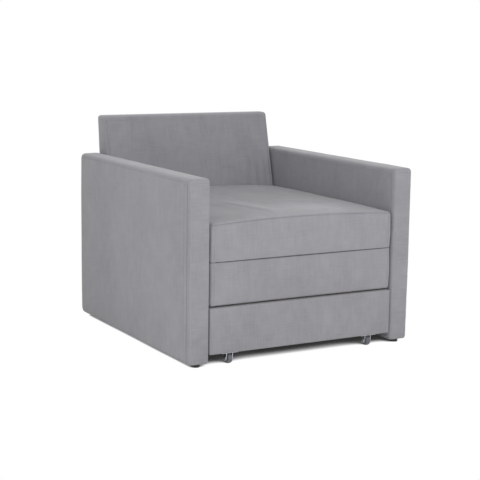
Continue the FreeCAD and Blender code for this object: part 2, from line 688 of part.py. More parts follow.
# Fixed and rolling slats by turns, as many as the width takes, with a fixed one at each side
slat_room = f"{HALF} - slat_side_gap - slat_width / 2"
slats_each_side = math.floor(size(f"({slat_room}) / slat_pitch"))
fixed_slats = []
packers = []
rolling_slats = []
clips = []
for index in range(slats_each_side * 2 + 1):
    middle = f"(slat_pitch * {index - slats_each_side})"
    span = (f"{middle} - slat_width / 2", f"{middle} + slat_width / 2")
    if index % 2 == 0:
        fixed_slats.append(board(f"fixed_slat_{index}", span, (FRONT_RAIL, REAR_BOARD_FRONT),
                                 (slat_under, DECK_TOP)))
        packers.append(board(f"packer_{index}", span, (FRONT_RAIL, FRONT_RAIL_REAR),
                             (FRONT_RAIL_TOP, slat_under)))
        continue
    rolling_under = f"({PANEL_TOP} - slat_thickness)"
    rolling_slats.append(board(f"rolling_slat_{index}", span, (BOARD_REAR, ROLLING_RAIL_REAR),
                               (rolling_under, PANEL_TOP)))
    clip_span = (f"{middle} - clip_width / 2", f"{middle} + clip_width / 2")
    clips.append(joined(f"clip_{index}", [
        board(f"clip_leg_{index}", clip_span, (BOARD_REAR, f"{BOARD_REAR} + clip_thickness"),
              (f"{rolling_under} - clip_length", rolling_under)),
        board(f"clip_shelf_{index}", clip_span, (BOARD_REAR, f"{BOARD_REAR} + clip_length"),
              (f"{rolling_under} - clip_thickness", rolling_under))]))
node("fixed_slats", *fixed_slats)
node("slat_packers", *packers)

# Rubber bumpers that end the platform's travel against the fixed cross rail
node("stop_bumpers", *[
    rod(f"bumper_{side}", "y", FRONT_RAIL_REAR, f"{FRONT_RAIL_REAR} + bumper_length",
        (f"bumper_spacing * {sign}", f"({FRONT_RAIL_TOP} - front_rail_height / 2)"),
        "bumper_diameter / 2")
    for side, sign in SIDES])

# Guide rails: steel channels on the arms, open towards the platform
guide_screws = []
for side, sign in SIDES:
    level = (f"{GUIDE_LEVEL} - guide_height / 2", f"{GUIDE_LEVEL} + guide_height / 2")
    blank = board(f"guide_blank_{side}", mirrored(sign, GUIDE_OPEN, HALF),
                  ("guide_front", GUIDE_REAR), level)
    trough = board(f"guide_trough_{side}",
                   mirrored(sign, f"{GUIDE_OPEN} - cutter_run", f"{HALF} - guide_wall"),
                   ("guide_front - cutter_run", f"{GUIDE_REAR} + cutter_run"),
                   (f"{level[0]} + guide_wall", f"{level[1]} - guide_wall"))
    drills = [rod(f"guide_drill_{side}_{index}", "x",
                  *mirrored(sign, f"{HALF} - guide_wall - cutter_run", f"{HALF} + cutter_run"), across,
                  "screw_diameter / 2 + hole_play")
              for index, across in enumerate(GUIDE_SCREWS)]
    tool = group(f"guide_tool_{side}", [trough] + drills)
    node(f"guide_rail_{side}", cut(f"guide_channel_{side}", blank, tool))
    for index, across in enumerate(GUIDE_SCREWS):
        face = f"{HALF} - guide_wall"
        shank = mirrored(sign, face, f"{HALF} + screw_length")
        head = mirrored(sign, f"{face} - screw_head_height", face)
        guide_screws.append(joined(f"guide_screw_{side}_{index}", [
            rod(f"guide_shank_{side}_{index}", "x", *shank, across, "screw_diameter / 2"),
            rod(f"guide_head_{side}_{index}", "x", *head, across, "screw_head / 2")]))
node("guide_screws", *guide_screws)

# Front panel of the rolling platform: board, foam sheet and sewn cover
def panel_form(name, inset, radius, rear):
    """The front panel's block with its front outline rounded."""
    half = f"{TIER_HALF} - {inset}"
    body, block = body_block(name, (f"-({half})", half), (f"tier_setback + {inset}", rear),
                             (f"panel_bottom + {inset}", f"{PANEL_TOP} - {inset}"))
    box = block.Shape.BoundBox
    rounded(body, block, f"{name}_edges", radius, lambda edge: near(edge.YMax, box.YMin))
    return body


def castor_screw_places():
    """Both castors' screws: one row under the front board and one under the block behind it."""
    row_front = f"(({BOARD_FRONT} + {BOARD_REAR}) / 2)"
    row_rear = f"(({BOARD_FRONT} + plate_depth + {BOARD_REAR}) / 2)"
    return [(f"({CASTOR_MIDDLE} * {sign} + plate_screw_spacing / 2 * {end})", row)
            for side, sign in SIDES for end in (-1, 1) for row in (row_front, row_rear)]


CASTOR_SCREWS = castor_screw_places()
PLATE_BOTTOM = "(panel_bottom - plate_thickness)"
castor_bores = group("castor_bores", [
    rod(f"castor_bore_{index}", "z", f"{PLATE_BOTTOM} - cutter_run",
        f"{PLATE_BOTTOM} + screw_length + cutter_run", across, "screw_diameter / 2 + hole_play")
    for index, across in enumerate(CASTOR_SCREWS)])

panel_sleeve = panel_form("panel_sleeve", "0", "panel_round", BOARD_REAR)
panel_lining = panel_form("panel_lining", "cover_thickness", "panel_round - cover_thickness",
                          f"{BOARD_REAR} + cutter_run")
panel_shell = cut("panel_shell", panel_sleeve, panel_lining)
node("front_panel_cover", cut("front_panel_cover_bored", panel_shell, castor_bores))
node("front_panel_padding",
     panel_form("panel_foam_sheet", "(cover_thickness + layer_gap)",
                "panel_round - cover_thickness - layer_gap", BOARD_FRONT))
panel_half = f"({TIER_HALF} - cover_thickness - layer_gap)"
front_board = board("front_board_blank", (f"-{panel_half}", panel_half), (BOARD_FRONT, BOARD_REAR),
                    ("panel_bottom + cover_thickness", f"{PANEL_TOP} - cover_thickness"))
node("front_board", cut("front_board_bored", front_board, castor_bores))

blocks = []
for side, sign in SIDES:
    middle = f"{CASTOR_MIDDLE} * {sign}"
    blocks.append(board(f"castor_block_blank_{side}",
                        (f"{middle} - plate_width / 2", f"{middle} + plate_width / 2"),
                        (BOARD_REAR,f"{BOARD_REAR} + castor_block_depth"),
                        ("panel_bottom", "panel_bottom + castor_block_height")))
node("castor_blocks", cut("castor_blocks_bored", group("castor_block_blanks", blocks), castor_bores))

# Rolling platform behind the front panel
node("rolling_slats", *rolling_slats)
node("slat_clips", *clips)
corner_blocks = []
roller_axles = []
for side, sign in SIDES:
    rail = board(f"side_rail_blank_{side}", mirrored(sign, SIDE_RAIL_IN, SIDE_RAIL_OUT),
                 (BOARD_REAR, ROLLING_RAIL_FRONT), ("side_rail_bottom", SIDE_RAIL_TOP))
    axle_bore = rod(f"side_rail_bore_{side}", "x",
                    *mirrored(sign, f"{SIDE_RAIL_IN} - cutter_run", f"{SIDE_RAIL_OUT} + cutter_run"),
                    (ROLLER_Y, GUIDE_LEVEL), "roller_axle / 2 + running_play")
    node(f"platform_side_rail_{side}", cut(f"side_rail_bored_{side}", rail, axle_bore))
    corner_blocks.append(board(f"corner_block_{side}",
                               mirrored(sign, f"{SIDE_RAIL_IN} - corner_block", SIDE_RAIL_IN),
                               (BOARD_REAR, f"{BOARD_REAR} + castor_block_depth"),
                               ("panel_bottom + castor_block_height + layer_gap", SIDE_RAIL_TOP)))
    clip = f"{GUIDE_OPEN} + roller_side_play * 2 + roller_width"
    pieces = [("shank", SIDE_RAIL_IN, f"{clip} + axle_clip", "roller_axle / 2"),
              ("head", f"{SIDE_RAIL_IN} - axle_head", SIDE_RAIL_IN, "roller_axle / 2 + axle_rim"),
              ("clip", clip, f"{clip} + axle_clip", "roller_axle / 2 + axle_rim")]
    roller_axles.append(joined(f"roller_axle_{side}", [
        rod(f"roller_axle_{name}_{side}", "x", *mirrored(sign, start, end),
            (ROLLER_Y, GUIDE_LEVEL), radius) for name, start, end, radius in pieces]))
node("platform_rear_rail", board("rear_rail_blank", (f"-{SIDE_RAIL_OUT}", SIDE_RAIL_OUT),
                                 (ROLLING_RAIL_FRONT, ROLLING_RAIL_REAR),
                                 ("side_rail_bottom", f"{PANEL_TOP} - slat_thickness")))
node("corner_blocks", *corner_blocks)
node("roller_axles", *roller_axles)

# Rollers that keep the platform's rear end in the guides
for side, sign in SIDES:
    radius = "(guide_height / 2 - guide_wall - roller_play)"
    section = wheel_section("roller_width", radius, "roller_chamfer",
                            "roller_axle / 2 + running_play")
    inner = f"{GUIDE_OPEN} + roller_side_play"
    start = mirrored(sign, inner, f"{inner} + roller_width")[0]
    node(f"guide_roller_{side}", turned(f"roller_{side}", section, f"{start} - section_start",
                                        ROLLER_Y, GUIDE_LEVEL))

# Castors: fixed forks of folded plate with a wheel on a riveted axle
WHEEL_Z = "(wheel_diameter / 2)"
castor_screws = []
castor_axles = []
for index, across in enumerate(CASTOR_SCREWS):
    castor_screws.append(joined(f"castor_screw_{index}", [
        rod(f"castor_screw_head_{index}", "z", f"{PLATE_BOTTOM} - screw_head_height", PLATE_BOTTOM,
            across, "screw_head / 2"),
        rod(f"castor_screw_shank_{index}", "z", PLATE_BOTTOM, f"{PLATE_BOTTOM} + screw_length",
            across, "screw_diameter / 2")]))
node("castor_screws", *castor_screws)
for side, sign in SIDES:
    centre = f"{CASTOR_MIDDLE} * {sign}"
    axis = ("castor_setback", WHEEL_Z)
    inner = "(wheel_width / 2 + fork_play)"
    outer = f"({inner} + fork_wall)"
    pieces = [board(f"fork_plate_{side}", (f"{centre} - plate_width / 2", f"{centre} + plate_width / 2"),
                    (BOARD_FRONT, f"{BOARD_FRONT} + plate_depth"), (PLATE_BOTTOM, "panel_bottom"))]
    for cheek, (low, high) in enumerate(((f"-{outer}", f"-{inner}"), (inner, outer))):
        span = (f"{centre} + {low}", f"{centre} + {high}")
        pieces.append(board(f"fork_cheek_{side}_{cheek}", span,
                            ("castor_setback - fork_lobe", "castor_setback + fork_lobe"),
                            (WHEEL_Z, "panel_bottom")))
        pieces.append(rod(f"fork_lobe_{side}_{cheek}", "x", *span, axis, "fork_lobe"))
    fork = joined(f"fork_{side}", pieces)
    axle_hole = rod(f"fork_hole_{side}", "x", f"{centre} - {outer} - cutter_run",
                    f"{centre} + {outer} + cutter_run", axis, "castor_axle / 2 + running_play")
    fork_bores = group(f"fork_bores_{side}", [axle_hole, castor_bores])
    node(f"castor_fork_{side}", cut(f"fork_bored_{side}", fork, fork_bores))
    rivet = [rod(f"castor_pin_{side}", "x", f"{centre} - {outer}", f"{centre} + {outer}",
                 axis, "castor_axle / 2")]
    heads = ((f"-{outer} - rivet_height", f"-{outer}"), (outer, f"{outer} + rivet_height"))
    for end, (low, high) in enumerate(heads):
        rivet.append(rod(f"castor_rivet_{side}_{end}", "x", f"{centre} + {low}",
                         f"{centre} + {high}", axis, "castor_axle / 2 + axle_rim"))
    castor_axles.append(joined(f"castor_axle_{side}", rivet))
    section = wheel_section("wheel_width", "(wheel_diameter / 2)", "wheel_chamfer",
                            "castor_axle / 2 + running_play")
    node(f"castor_wheel_{side}", turned(f"wheel_{side}", section,
                                        f"{centre} - wheel_width / 2 - section_start", *axis))
node("castor_axles", *castor_axles)


# Cushions. Their outlines stand close together in a corner, as shares of its rounding, and then
# ever further apart towards the middle, so that the surface between them doesn't wave.
CORNER_SHARES = (0, 0.05, 0.25, 0.6, 1)
SPREAD = 1.6
SPREAD_END = 0.75                 # the last outline before the middle, as a share of the half width
CORNER_SINK = 0.8                 # how much of a corner's rounding also lowers its top


def cushion_shape(bottom, edge, rear_low, rear_high, across, along):
    """A boxed cushion as a loft from side to side through outlines of lines and arcs.

    Each outline has a straight underside and swelling front and rear faces. Towards the sides the
    outlines shrink along a quarter circle, which rounds every corner, and they rise to the crown
    in the middle. The front and rear faces draw in a little between the corners.
    """
    half = size(TIER_HALF)
    corner = size("cushion_corner")
    bulge = size("cushion_bulge")
    draw = size("cushion_draw")
    front = size("tier_setback")
    reaches = [corner * share for share in CORNER_SHARES]
    while reaches[-1] * SPREAD < half * SPREAD_END:
        reaches.append(reaches[-1] * SPREAD)
    stations = [reach / half - 1 for reach in reaches] + [0.0]
    stations += [1 - reach / half for reach in reversed(reaches)]
    wires = []
    for station in stations:
        gap = half * (1 - abs(station))
        shrink = corner - math.sqrt(corner ** 2 - max(corner - gap, 0) ** 2)
        rise = across * (1 - station ** 2)
        pull = draw * (1 - station ** 2) + shrink

        def point(y, z):
            return FreeCAD.Vector(half * station, y, z)

        low = bottom
        high = edge + rise - shrink * CORNER_SINK
        middle = (low + high) / 2
        y_front = front + pull + bulge
        y_low = rear_low - pull - bulge
        y_high = rear_high - pull - bulge
        y_middle = (y_low + y_high) / 2
        face = Part.Arc(point(y_front, low), point(y_front - bulge, middle), point(y_front, high))
        rear = Part.Arc(point(y_high, high), point(y_middle + bulge, middle), point(y_low, low))
        under = Part.LineSegment(point(y_low, low), point(y_front, low))
        if along:
            crest = point((y_front + y_high) / 2, high + along)
            top = Part.Arc(point(y_front, high), crest, point(y_high, high))
        else:
            top = Part.LineSegment(point(y_front, high), point(y_high, high))
        wires.append(Part.Wire([face.toShape(), top.toShape(), rear.toShape(), under.toShape()]))
    return Part.makeLoft(wires, True, False)


def cushion(name, bottom, edge, rear_low, rear_high, across, along):
    """A quilted cover round a square foam core, as two nodes."""
    form = DOC.addObject("Part::Feature", f"{name}_form")
    form.Shape = cushion_shape(size(bottom), size(edge), size(rear_low), size(rear_high),
                               across, along)

    def room(label, slack):
        inset = f"(quilt_depth + {slack})"
        half = f"({TIER_HALF} - {inset})"
        return board(label, (f"-{half}", half), (f"tier_setback + {inset}", f"{rear_low} - {inset}"),
                     (f"{bottom} + {inset}", f"{edge} - {inset}"))

    node(f"{name}_cover", cut(f"{name}_quilt", form, room(f"{name}_room", "0")))
    node(f"{name}_core", room(f"{name}_block", "layer_gap"))


cushion("lower_cushion", DECK_TOP, LOWER_TOP, f"({REAR_BOARD_FRONT} - cushion_gap)",
        f"({REAR_BOARD_FRONT} - cushion_gap)", 0, 0)
cushion("upper_cushion", UPPER_BOTTOM, SEAT_TOP, f"({back_face(UPPER_BOTTOM)} - cushion_gap)",
        f"({back_face(SEAT_TOP)} - cushion_gap)", size("crown_across"), size("crown_along"))

# The cloth hinge: one leaf sewn to each cushion, meeting along the front seam
leaf_half = f"({TIER_HALF} - cushion_corner)"
leaf_run = ("tier_setback + cushion_bulge + cushion_draw",
            "tier_setback + cushion_bulge + cushion_draw + hinge_leaf_depth")
leaf_levels = {"lower": f"({LOWER_TOP} + hinge_leaf_slack)",
               "upper": f"({UPPER_BOTTOM} - hinge_leaf_slack - hinge_leaf)"}
for leaf, level in leaf_levels.items():
    node(f"hinge_leaf_{leaf}", board(f"hinge_cloth_{leaf}", (f"-{leaf_half}", leaf_half), leaf_run,
                                     (level, f"{level} + hinge_leaf")))

DOC.recompute()

# Checks before anything is written
failed = [piece.Label for piece in DOC.Objects
          if "Invalid" in piece.State or "Error" in piece.State]
if failed:
    raise RuntimeError(f"objects that failed: {failed}")
for piece in NODES:
    if piece.Shape.isNull() or not piece.Shape.isValid() or not piece.Shape.Solids:
        raise RuntimeError(f"bad shape: {piece.Label}")

os.makedirs("parts", exist_ok=True)
for piece in NODES:
    piece.Shape.exportStep(f"parts/{piece.Label}.step")
    print(piece.Label, len(piece.Shape.Solids), round(piece.Shape.Volume / 1000, 1), "cm3")
whole = Part.makeCompound([piece.Shape for piece in NODES]).BoundBox
print("box", [round(value, 2) for value in (whole.XMin, whole.YMin, whole.ZMin,
                                            whole.XMax, whole.YMax, whole.ZMax)])
print("travel", round(size(f"{ROLLING_RAIL_FRONT} - {FRONT_RAIL_REAR} - bumper_length"), 2))
print("nodes", len(NODES))
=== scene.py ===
# %% [markdown]
# A grey chair bed, dressed for the camera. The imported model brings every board, slat, screw and
# wheel at its real place. What is missing is the upholstery: cloth that swells over foam, seams that
# pull it in, and a weave that catches the light. Each of those is built below as its own piece, in
# the space that the plain solid holds.

# %% Load the frame
import math

import bpy
import numpy as np
from mathutils import Matrix, Vector, bvhtree, kdtree, noise


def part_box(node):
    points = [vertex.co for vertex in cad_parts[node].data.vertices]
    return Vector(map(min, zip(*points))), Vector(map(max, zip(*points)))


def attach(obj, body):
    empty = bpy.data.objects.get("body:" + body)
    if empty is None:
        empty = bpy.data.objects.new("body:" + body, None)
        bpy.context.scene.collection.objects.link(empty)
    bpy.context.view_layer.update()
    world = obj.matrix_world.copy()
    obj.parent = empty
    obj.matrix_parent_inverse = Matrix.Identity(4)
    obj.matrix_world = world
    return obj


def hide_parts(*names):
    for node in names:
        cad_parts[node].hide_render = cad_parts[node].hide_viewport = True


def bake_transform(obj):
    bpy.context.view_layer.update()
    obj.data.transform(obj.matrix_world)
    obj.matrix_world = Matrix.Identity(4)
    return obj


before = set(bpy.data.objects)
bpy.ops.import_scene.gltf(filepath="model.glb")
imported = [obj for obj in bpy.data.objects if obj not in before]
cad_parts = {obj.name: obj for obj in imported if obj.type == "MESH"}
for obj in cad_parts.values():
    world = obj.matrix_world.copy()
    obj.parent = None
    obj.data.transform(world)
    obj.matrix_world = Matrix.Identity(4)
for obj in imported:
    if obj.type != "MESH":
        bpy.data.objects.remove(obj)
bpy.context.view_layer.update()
MM = 0.001
SIDES = (("left", -1), ("right", 1))

# %% [markdown]
# The camera stands where the photographer stood: in front of the chair, well to its right hand side
# and about a metre up, with a long lens. A long lens keeps the arms nearly parallel, and that is what
# makes a piece of furniture look calm. The direction is given by a turn, a tilt and a small roll.

# %% Camera
EYE = Vector((-2.215, -3.9328, 1.073))
TURN, TILT, ROLL = math.radians(29.51), math.radians(-9.54), math.radians(0.83)
LENS = 96.66

ahead = Vector((math.sin(TURN) * math.cos(TILT), math.cos(TURN) * math.cos(TILT), math.sin(TILT)))
level = ahead.cross(Vector((0, 0, 1))).normalized()
above = level.cross(ahead)
right = level * math.cos(ROLL) + above * math.sin(ROLL)
up = above * math.cos(ROLL) - level * math.sin(ROLL)
lens = bpy.data.cameras.new("camera")
lens.lens = LENS
camera = bpy.data.objects.new("camera", lens)
camera.matrix_world = Matrix.Translation(EYE) @ Matrix((right, up, -ahead)).transposed().to_4x4()
bpy.context.scene.collection.objects.link(camera)
bpy.context.scene.camera = camera
print("camera looks along", [round(part, 3) for part in ahead])

# %% [markdown]
# Materials are written as sums. A Strand holds one output of a shader node, and adding or
# multiplying strands adds the Math nodes, so that a recipe reads like a formula. Every other node
# comes from the one method of Recipe: it takes the node's type, its settings and what goes into it.

# %% Shader sums
class Strand:
    """One output of a node, which can be used in a sum."""

    def __init__(self, recipe, socket):
        self.recipe = recipe
        self.socket = socket

    def sum(self, operation, one, two):
        return self.recipe.add("ShaderNodeMath", {"operation": operation}, {0: one, 1: two})

    def __add__(self, other):
        return self.sum("ADD", self, other)

    def __radd__(self, other):
        return self.sum("ADD", other, self)

    def __sub__(self, other):
        return self.sum("SUBTRACT", self, other)

    def __rsub__(self, other):
        return self.sum("SUBTRACT", other, self)

    def __mul__(self, other):
        return self.sum("MULTIPLY", self, other)

    def __rmul__(self, other):
        return self.sum("MULTIPLY", other, self)


class Recipe:
    """A material or a world, and the nodes that it is mixed from."""

    def __init__(self, name, family=bpy.data.materials, end="ShaderNodeOutputMaterial"):
        self.made = family.new(name)
        self.made.use_nodes = True
        self.tree = self.made.node_tree
        self.tree.nodes.clear()
        self.end = self.tree.nodes.new(end)

    def add(self, kind, settings=None, inputs=None, output=0):
        """Any node: its type, its settings, and the values or strands of its sockets."""
        node = self.tree.nodes.new(kind)
        for name, value in (settings or {}).items():
            if name == "stops":
                stops = node.color_ramp.elements
                while len(stops) < len(value):
                    stops.new(1.0)
                for stop, (place, colour) in zip(stops, value):
                    stop.position = place
                    stop.color = colour
            else:
                setattr(node, name, value)
        for name, value in (inputs or {}).items():
            if isinstance(value, Strand):
                self.tree.links.new(value.socket, node.inputs[name])
            else:
                node.inputs[name].default_value = value
        return Strand(self, node.outputs[output])

    def mix(self, share, one, two, held=True):
        """A colour between two others, or also beyond them where the share isn't held."""
        return self.add("ShaderNodeMix", {"data_type": "RGBA", "clamp_factor": held},
                        {"Factor": share, 6: one, 7: two}, 2)

    def noise(self, place, scale, detail=2.0, roughness=0.5):
        """Soft noise around a half, stretched by a scale for each direction."""
        spread = self.add("ShaderNodeMapping", {}, {"Vector": place, "Scale": scale})
        return self.add("ShaderNodeTexNoise", {}, {"Vector": spread, "Scale": 1.0,
                                                   "Detail": detail, "Roughness": roughness})

    def ramp(self, value, low, high, start=0.0, end=1.0):
        """A value taken from one range to another, and held at its ends."""
        return self.add("ShaderNodeMapRange", {"clamp": True},
                        {"Value": value, "From Min": low, "From Max": high, "To Min": start,
                         "To Max": end})

    def bump(self, height, distance, strength=1.0):
        return self.add("ShaderNodeBump", {}, {"Height": height, "Distance": distance,
                                               "Strength": strength})

    def close(self, shader, socket="Surface"):
        self.tree.links.new(shader.socket, self.end.inputs[socket])
        return self.made

    def finish(self, **sockets):
        """The closing Principled shader, with underscores for the spaces in socket names."""
        inputs = {name.replace("_", " "): value for name, value in sockets.items()}
        return self.close(self.add("ShaderNodeBsdfPrincipled", {}, inputs))


def tint(red, green, blue):
    """A colour as a shader wants it, from its screen values between 0 and 255."""
    def linear(screen):
        share = screen / 255
        return share / 12.92 if share <= 0.04045 else ((share + 0.055) / 1.055) ** 2.4
    return (linear(red), linear(green), linear(blue), 1.0)


def cloth_grey(screen):
    """The cover's grey, which leans a little to violet."""
    return tint(screen + 1, screen, screen + 5)


# %% [markdown]
# The cover cloth is a brushed grey weave. From two steps away it looks plain, but its yarn is uneven:
# fine streaks run along the warp, weaker ones along the weft, and the nap lies in soft patches. All of
# it is measured in metres on the cut cloth, which every sewn piece below carries as the map named cut,
# so that the streaks turn where the tailor turned the panel. A piece may also carry a point attribute
# of painted light and shade, which lightens its colour where more light falls and darkens it in shade.
# Sheen gives the pale bloom that brushed fibre has at a glancing angle, and it is a plain value on its
# socket.

# %% Upholstery cloth
PITCH = 0.0011                    # from one warp yarn to the next
CLOTH_GREY = 150
CLOTH_SPREAD = 26                 # screen steps from the middle grey to the darkest or palest yarn


def upholstery():
    cloth = Recipe("cover_cloth")
    cut = cloth.add("ShaderNodeUVMap", {"uv_map": "cut"})
    # The attribute read here is painted light and shade, added to the cloth's grey.
    painted_shading = cloth.add("ShaderNodeAttribute", {"attribute_name": "nap"}, {}, "Fac")
    streaks = cloth.noise(cut, (520, 16, 1), 3.0, 0.6) - 0.5
    slubs = cloth.noise(cut, (190, 7, 1), 2.0) - 0.5
    weft = cloth.noise(cut, (14, 430, 1), 2.0, 0.6) - 0.5
    grain = cloth.noise(cut, (900, 700, 1), 1.0) - 0.5
    patches = cloth.noise(cut, (7, 4, 1), 3.0, 0.6) - 0.5
    nap = cloth.noise(cut, (34, 21, 1), 3.0, 0.6) - 0.5
    uneven = streaks * 0.36 + slubs * 0.20 + weft * 0.34 + grain * 0.14 + patches * 0.42 + nap * 0.26
    # Random unevenness of the yarn, plus the painted light and shade of the attribute.
    shade = uneven + painted_shading + 0.5
    darkest, palest = cloth_grey(CLOTH_GREY - CLOTH_SPREAD), cloth_grey(CLOTH_GREY + CLOTH_SPREAD)
    colour = cloth.mix(shade, darkest, palest, False)
    axes = [cloth.add("ShaderNodeSeparateXYZ", {}, {"Vector": cut}, axis) for axis in (0, 1)]
    waves = [cloth.add("ShaderNodeMath", {"operation": "SINE"}, {0: axis * (2 * math.pi / PITCH)})
             for axis in axes]
    relief = waves[0] * waves[1] * 0.25 + streaks * 1.2 + weft * 1.0 + slubs * 0.8
    return cloth.finish(Base_Color=colour, Roughness=0.86 - nap * 0.1,
                        Normal=cloth.bump(relief, 0.00022, 0.5), Sheen_Weight=0.3,
                        Sheen_Roughness=0.45, Specular_IOR_Level=0.25)


cover_cloth = upholstery()
print("cloth nodes", len(cover_cloth.node_tree.nodes))

# %% [markdown]
# A sewn piece starts as a block of grid squares whose corners turn in equal steps. Grid lines gather
# where an edge turns and beside each seam, because a groove two millimetres wide needs squares of a
# millimetre. The block is then laid over a core: every point goes to the nearest point of the core
# and out again by the radius, which rounds edges and corners alike. It keeps clean rows of squares,
# which a voxel remesh would lose.

# %% Grid lines
TURNS = 5                         # steps of a rounded edge
BESIDE_SEAM = (-6, -3.5, -2, -1, 0, 1, 2, 3.5, 6)
LEAST_STEP = 0.5 * MM


def grid_lines(low, high, rounds, step, seams=()):
    """Places of the lines along one axis of a block."""
    turn = [math.tan(math.pi / 4 * k / TURNS) for k in range(TURNS, 0, -1)]
    inner = (low + rounds[0], high - rounds[1])
    count = max(2, math.ceil((inner[1] - inner[0]) / step))
    places = [inner[0] - rounds[0] * t for t in turn]
    places += list(np.linspace(*inner, count + 1))
    places += [inner[1] + rounds[1] * t for t in reversed(turn)]
    places += [seam + offset * MM for seam in seams for offset in BESIDE_SEAM
               if inner[0] < seam + offset * MM < inner[1]]
    kept = [low]
    for place in sorted(places):
        if place - kept[-1] > LEAST_STEP and high - place > LEAST_STEP:
            kept.append(place)
    return np.array(kept + [high])


def laid_over_core(points, low, high, radius, corner=0.0, plane=(0, 1), corners=()):
    """Points of a block drawn in to a rounded form, and the directions in which they face.

    corner is how much larger than the radius some corners are in one plane of the block, such as
    the front corners of a cushion seen from above.
    """
    core = np.clip(points, low + radius, high - radius)
    for signs in corners:
        centre = [high[a] - radius - corner if s > 0 else low[a] + radius + corner
                  for a, s in zip(plane, signs)]
        away = [(points[:, a] - c) for a, c in zip(plane, centre)]
        length = np.hypot(*away)
        beyond = (away[0] * signs[0] > 0) & (away[1] * signs[1] > 0) & (length > corner)
        for a, c, run in zip(plane, centre, away):
            core[beyond, a] = c + corner * run[beyond] / length[beyond]
    out = points - core
    facing = out / np.linalg.norm(out, axis=1)[:, None]
    return core + facing * radius, facing


# %% [markdown]
# The block becomes a closed mesh of its six faces, which share the vertices along the edges. Each
# face is one panel of cloth with its own part of the map, and a panel can be turned so that its yarn
# runs across. The map keeps the block's own lengths, which is what the flat cloth measures.

# %% Blocks of grid squares
FACES = {"left": (0, 0, False), "right": (0, -1, True), "front": (1, 0, True),
         "rear": (1, -1, False), "under": (2, 0, False), "top": (2, -1, True)}
PANEL_SHIFT = 3.7                 # keeps the panels apart on the map


def block_points(lines):
    """The corner points of a block's surface, and the number of each on the whole grid."""
    shape = [len(axis) for axis in lines]
    numbers = np.full(shape, -1)
    skin = np.zeros(shape, bool)
    for axis in range(3):
        for end in (0, -1):
            skin[tuple(end if a == axis else slice(None) for a in range(3))] = True
    numbers[skin] = np.arange(skin.sum())
    return np.stack([lines[a][at] for a, at in enumerate(np.nonzero(skin))], 1), numbers


def mesh_piece(name, points, faces, smooth=True):
    mesh = bpy.data.meshes.new(name)
    mesh.from_pydata(np.asarray(points).tolist(), [], [list(map(int, face)) for face in faces])
    mesh.polygons.foreach_set("use_smooth", np.full(len(mesh.polygons), smooth))
    piece = bpy.data.objects.new(name, mesh)
    bpy.context.scene.collection.objects.link(piece)
    return piece


def block_mesh(name, lines, points, numbers, turned=(), panel_of=None):
    """A smooth mesh object of the block's squares, with its cloth map."""
    flat, _ = block_points(lines)
    squares, maps = [], []
    for index, (face, (axis, end, outward)) in enumerate(FACES.items()):
        sheet = numbers[tuple(end if a == axis else slice(None) for a in range(3))]
        around = [sheet[:-1, :-1], sheet[1:, :-1], sheet[1:, 1:], sheet[:-1, 1:]]
        if not outward:
            around = around[::-1]
        square = np.stack([corner.ravel() for corner in around], 1)
        across, along = [a for a in range(3) if a != axis]
        place = np.stack([flat[square][:, :, across], flat[square][:, :, along]], 2)
        swap = np.full(len(square), face in turned)
        if panel_of is not None:
            swap |= panel_of(face, flat[square].mean(1))
        place[swap] = place[swap][:, :, ::-1]
        maps.append(place + PANEL_SHIFT * (index + 1) + swap[:, None, None] * PANEL_SHIFT / 2)
        squares.append(square)
    piece = mesh_piece(name, points, np.concatenate(squares))
    cut = piece.data.uv_layers.new(name="cut")
    cut.data.foreach_set("uv", np.concatenate(maps).ravel())
    print(name, len(piece.data.polygons), "squares")
    return piece


def paint_light_and_shade(piece, painted_shades):
    """Painted light and shade, one number for each point, that lightens or darkens the cloth's colour.
    """
    layer = piece.data.attributes.new("nap", "FLOAT", "POINT")
    layer.data.foreach_set("value", painted_shades)


def dress(piece, body, fill, *nodes):
    """Everything that a padded piece of the cover has in common."""
    piece.data.materials.append(cover_cloth)
    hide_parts(*nodes)
    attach(piece, body)


# %% [markdown]
# Seams, puckers and creases are small moves of the finished surface along its own direction. A groove
# is a bell curve across a line, a lip is the same curve the other way, and a pucker is noise that is
# long in one direction and dies away from its seam. Written as heights in millimetres, they can be
# added like layers.

# %% Relief
def bell(distance, width):
    """1 on a line, falling smoothly to nothing beside it."""
    return np.exp(-(distance / width) ** 2)


def smooth(value, low, high):
    """0 before low, 1 after high, and a smooth step between them."""
    share = np.clip((value - low) / (high - low), 0, 1)
    return share * share * (3 - 2 * share)


def wavy(points, lengths, seed):
    """Even noise between about -1 and 1 with a wave length for each axis, in metres."""
    scaled = points / np.array(lengths) + seed * 17.3
    return np.array([noise.noise(Vector(point)) for point in scaled])


def seam(distance, depth=0.9, width=1.6, lip=0.5):
    """A sewn line: a groove with the cloth standing up a little on both sides, in millimetres."""
    return lip * bell(np.abs(distance) - 2.6 * width * MM, 1.5 * width * MM) - depth * bell(
        distance, width * MM)


# %% [markdown]
# Beside its seams the cover is topstitched. Each stitch is a short thread that dips into the cloth at
# both ends. A row is laid along a guide line: every point of the guide goes to the nearest place of
# the finished cover, and a thread joins it to the next. The rows are real geometry, because they
# catch the light as small beads when someone comes close.

# %% Topstitching
STITCH = 4.5 * MM
THREAD_RADIUS = 0.45 * MM
THREAD_SIDES = 5
THREAD_RINGS = ((0.12, 0.3, -0.25), (0.5, 1.0, 0.30), (0.88, 0.3, -0.25))  # along, girth, rise in mm


def guide(start, end):
    """Points one stitch apart on a straight line."""
    start, end = np.array(start), np.array(end)
    count = max(2, round(float(np.linalg.norm(end - start)) / STITCH))
    return start + np.linspace(0, 1, count + 1)[:, None] * (end - start)


